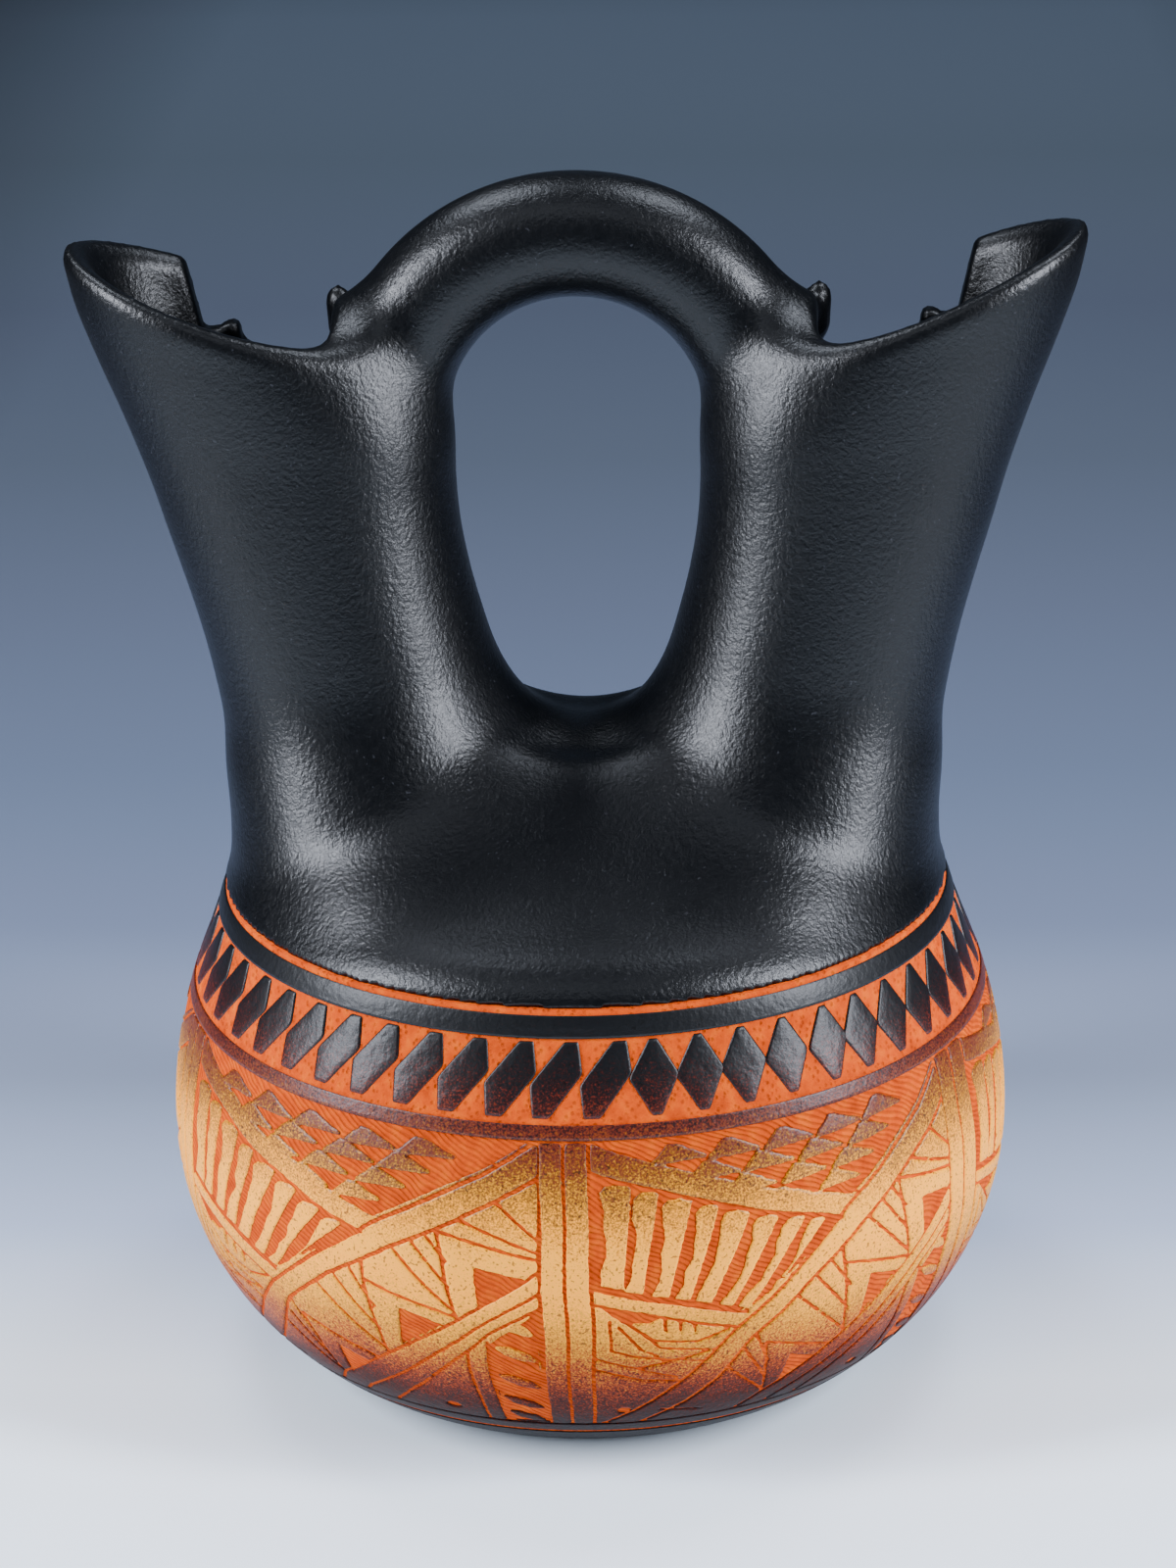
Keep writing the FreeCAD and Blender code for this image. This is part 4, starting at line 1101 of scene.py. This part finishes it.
# %% Surface from the field
def surface_net(field, axes):
    """Points and quads of the surface where the field is zero."""
    shape = np.array(field.shape) - 1
    total = np.zeros(tuple(shape) + (3,), dtype=np.float32)
    count = np.zeros(tuple(shape), dtype=np.float32)
    crossings = []
    for axis in range(3):
        low = [slice(None)] * 3
        high = [slice(None)] * 3
        low[axis], high[axis] = slice(0, -1), slice(1, None)
        a, b = field[tuple(low)], field[tuple(high)]
        where = np.argwhere((a < 0) != (b < 0))
        va, vb = a[tuple(where.T)], b[tuple(where.T)]
        place = where.astype(np.float64)
        place[:, axis] += va / (va - vb)
        others = [k for k in range(3) if k != axis]
        keep = np.ones(len(where), dtype=bool)
        for k in others:
            keep &= (where[:, k] > 0) & (where[:, k] < field.shape[k] - 1)
        where, place, va = where[keep], place[keep], va[keep]
        cells = []
        for step_one, step_two in ((-1, -1), (0, -1), (0, 0), (-1, 0)):
            cell = where.copy()
            cell[:, others[0]] += step_one
            cell[:, others[1]] += step_two
            np.add.at(total, tuple(cell.T), place)
            np.add.at(count, tuple(cell.T), 1)
            cells.append(np.ravel_multi_index(cell.T, shape))
        quads = np.stack(cells, -1)
        flip = (va < 0) if axis != 1 else (va >= 0)
        quads[~flip] = quads[~flip][:, ::-1]
        crossings.append(quads)
    used = np.flatnonzero(count.reshape(-1) > 0)
    number = np.full(count.size, -1)
    number[used] = np.arange(len(used))
    points = total.reshape(-1, 3)[used] / count.reshape(-1)[used][:, None]
    points = np.stack([np.interp(points[:, i], np.arange(len(axes[i])), axes[i]) for i in range(3)], -1)
    return points, number[np.vstack(crossings)]


points, quads = surface_net(field, axes)
print("surface of", len(points), "points and", len(quads), "quads")

# %% [markdown]
# ## Which way the surface faces
# The slope of the field at a point is the direction that the clay faces there. It is read
# between the grid's own places, so light falls on the mesh as on a smooth form.


# %% Value at a free point
def sample(field, axes, points):
    """The field's value at free points, read between its grid points."""
    step = axes[0][1] - axes[0][0]
    spot = (points - np.array([a[0] for a in axes])) / step
    spot = np.clip(spot, 0, np.array(field.shape) - 1.001)
    base = spot.astype(int)
    part = spot - base
    value = np.zeros(len(points))
    for corner in np.ndindex(2, 2, 2):
        weight = np.prod(np.where(np.array(corner), part, 1 - part), axis=1)
        value += weight * field[tuple((base + corner).T)]
    return value


slopes = np.stack([sample(g, axes, points) for g in np.gradient(field, GRID)], -1)
normals = slopes / np.maximum(np.linalg.norm(slopes, axis=1, keepdims=True), 1e-6)
print(len(normals), "directions read")

# %% [markdown]
# ## Pieces of the upper body
# The surface is shared out among the pieces that the potter joined, so each CAD node is
# replaced by its own piece. They share their normals, so no joint shows in the slip. The
# mouths stand a few millimetres higher than they were drawn, more on the right.

# %% Share out the surface
SADDLE_TOP, NECK_TOP, DOME_TOP, DOME_SKIN = 150, 196, 112, 2.5
LIFT_RIGHT, LIFT_LEFT, LIFT_AT, LIFT_RUN = 3.6, 0.9, (48, 160), (45, 70)
mouth = eased((np.abs(points[:, 0]) - LIFT_AT[0]) / LIFT_RUN[0])
mouth = mouth * eased((points[:, 2] - LIFT_AT[1]) / LIFT_RUN[1])
lifted = points + (np.where(points[:, 0] > 0, LIFT_RIGHT, LIFT_LEFT) * mouth)[:, None] * (0, 0, 1)
middle = points[quads].mean(axis=1)
right, height = middle[:, 0] > 0, middle[:, 2]
of_handle = (sample(handle_share, axes, middle) < 0) & (height > NECK_TOP)
to_dome = sample(dome_distance(np.hypot(grid_x, grid_y), grid_z, 0), axes, middle)
low = (height < SADDLE_TOP) & ((to_dome < DOME_SKIN) | (height < DOME_TOP))
neck = (height >= SADDLE_TOP) & (height < NECK_TOP)
SHARES = (
    ("stirrup_handle", of_handle), ("shoulder_course", low), ("saddle", (height < SADDLE_TOP) & ~low),
    ("left_neck", neck & ~right), ("right_neck", neck & right),
    ("left_spout", (height >= NECK_TOP) & ~right), ("right_spout", (height >= NECK_TOP) & right))
taken = np.zeros(len(quads), dtype=bool)
for name, chosen in SHARES:
    used, faces = np.unique(quads[chosen & ~taken], return_inverse=True)
    taken |= chosen
    piece = add_piece(name + "_slip", lifted[used], faces.reshape(-1, 4).tolist(), BLACK, normals[used])
    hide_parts(name)

# %% [markdown]
# ## Stage
# The vase stands on pale paper that fades to slate behind it. The camera looks down on it,
# so the paper fills the whole picture. Far out it rises in a soft curve all round, so the
# vase can be seen from any side. The paper is matt. Its colours hold its pale-to-slate tint
# with a painted fall-off of light from the front to far behind the vase, and painted shade at its sides.

# %% Paper
PAPER = ((2000, 0), (2200, 0), (2600, 60), (2900, 300), (3000, 800), (3000, 2600))
PAPER_TINT_AND_FALLOFF = (
    (0.0, "#ebf6ff"), (0.055, "#ebf6ff"), (0.10, "#a8b7d2"), (0.152, "#7c879c"), (0.212, "#5e6980"),
    (0.286, "#546076"), (0.375, "#535c70"), (0.482, "#515b6b"), (0.618, "#586275"), (0.788, "#6c7b8b"),
    (1.0, "#8ea0b6"))
FADE_FROM, FADE_TO, SIDE_SHADE_FROM, SIDE_SHADE_TO, PAPER_SIDES = -120, 1480, 240, 460, 96


def paper_with_painted_falloff():
    """Matt paper tinted slate behind the vase, with a painted fall-off of light behind it and painted shade
    beside it.
    """
    material, tree, place = new_material("paper")
    split = node(tree, "ShaderNodeSeparateXYZ", (1, 0), {0: place}).outputs
    back = node(tree, "ShaderNodeMapRange", (3, 0),
                {0: split["Y"], 1: FADE_FROM * MM, 2: FADE_TO * MM}).outputs[0]
    # The stops hold the paper's pale-to-slate tint together with a painted fall-off of light.
    tint_and_falloff = node(tree, "ShaderNodeValToRGB", (4, 0),
                  {0: back}, [(share, linear(c)) for share, c in PAPER_TINT_AND_FALLOFF])
    # Painted shade: the paper's colour darkens towards its sides.
    aside = node(tree, "ShaderNodeMath", (2, -3), {0: split["X"]}, operation="ABSOLUTE").outputs[0]
    edge = node(tree, "ShaderNodeMapRange", (4, -3),
                {0: aside, 1: SIDE_SHADE_FROM * MM, 2: SIDE_SHADE_TO * MM, 3: 1.0, 4: 0.22})
    colour = node(tree, "ShaderNodeMix", (6, 0), {0: 1.0, 6: tint_and_falloff.outputs[0], 7: edge.outputs[0]},
                  data_type="RGBA", blend_type="MULTIPLY")
    coat = node(tree, "ShaderNodeBsdfPrincipled", (8, 0), {"Base Color": colour.outputs[2], "Roughness": 0.9})
    node(tree, "ShaderNodeOutputMaterial", (10, 0), {"Surface": coat.outputs[0]})
    return material


turns = np.linspace(0, 2 * np.pi, PAPER_SIDES, endpoint=False)
paper_points = [(reach * math.sin(t), -reach * math.cos(t), rise) for reach, rise in PAPER for t in turns]
paper_faces = [tuple(range(PAPER_SIDES))]
for low in range(0, (len(PAPER) - 1) * PAPER_SIDES, PAPER_SIDES):
    for i in range(PAPER_SIDES):
        after = (i + 1) % PAPER_SIDES
        paper_faces.append((low + i, low + PAPER_SIDES + i, low + PAPER_SIDES + after, low + after))
add_piece("paper_floor", paper_points, paper_faces, paper_with_painted_falloff(), body=False)

# %% [markdown]
# ## Light
# Two tall soft boxes stand at the sides and draw the long pale streaks down the necks. Two
# more hang high behind them for the rims, and a weak one in front keeps the pattern clear.
# A faint sky of the paper's own blue fills the shadows.


# %% Soft boxes
def soft_light(name, azimuth, elevation, distance, size, power, colour, aim=(0, 0, 130)):
    """A rectangular lamp that looks at the vase, in millimetres, degrees and watts."""
    data = bpy.data.lights.new(name, "AREA")
    data.shape, data.size, data.size_y = "RECTANGLE", size[0] * MM, size[1] * MM
    data.energy, data.color = power, linear(colour)[:3]
    lamp = bpy.data.objects.new(name, data)
    turn, rise = math.radians(azimuth), math.radians(elevation)
    offset = np.array([math.sin(turn) * math.cos(rise), -math.cos(turn) * math.cos(rise), math.sin(rise)])
    place = (np.array(aim) + offset * distance) * MM
    side = np.array([math.cos(turn), math.sin(turn), 0.0])
    top = np.cross(offset, side)
    lamp.matrix_world = Matrix([[side[i], top[i], offset[i], place[i]] for i in range(3)] + [[0, 0, 0, 1]])
    bpy.context.scene.collection.objects.link(lamp)
    print(name, power, "W")


for side, name in ((-1, "left"), (1, "right")):
    soft_light(name + "_tall_light", 68 * side, 22, 950, (180, 720), 23, "#eef3ff")
    soft_light(name + "_high_light", 128 * side, 62, 950, (300, 320), 4, "#e9f1ff")
soft_light("front_fill_light", -6, 60, 1300, (900, 400), 2, "#e9f1ff")
world = bpy.data.worlds.new("studio")
world.use_nodes = True
sky = world.node_tree.nodes["Background"].inputs
sky[0].default_value = linear("#a9b4c4")
sky[1].default_value = 0.06
bpy.context.scene.world = world

# %% [markdown]
# ## Camera
# The camera stands where the photographer stood: a little to the right, above the vase and
# looking down, with a long lens. Its place and lens were fitted to the vase's outline, and
# a turn about the line of sight makes up for a camera that wasn't quite level.

# %% Camera
EYE_DISTANCE, EYE_RISE, EYE_TURN, EYE_ROLL = 913.0, 20.98, 2.34, -1.11
EYE_TARGET = (0.8, 0.0, 124.06)
SENSOR_MM, LENS_MM = 24.0, 66.435
rise, turn, roll = (math.radians(a) for a in (EYE_RISE, EYE_TURN, EYE_ROLL))
away = np.array([math.sin(turn) * math.cos(rise), -math.cos(turn) * math.cos(rise), math.sin(rise)])
level = np.array([math.cos(turn), math.sin(turn), 0.0])
above = np.cross(level, -away)
across = math.cos(roll) * level + math.sin(roll) * above
upright = -math.sin(roll) * level + math.cos(roll) * above
eye = (np.array(EYE_TARGET) + away * EYE_DISTANCE) * MM
camera_data = bpy.data.cameras.new("camera")
camera_data.sensor_fit = "VERTICAL"
camera_data.sensor_height, camera_data.lens = SENSOR_MM, LENS_MM
camera_data.clip_start, camera_data.clip_end = 0.05, 20
camera = bpy.data.objects.new("camera", camera_data)
camera.matrix_world = Matrix([[across[i], upright[i], away[i], eye[i]] for i in range(3)] + [[0, 0, 0, 1]])
bpy.context.scene.collection.objects.link(camera)
bpy.context.scene.camera = camera
print("camera", EYE_DISTANCE, "mm away, lens", LENS_MM, "mm")
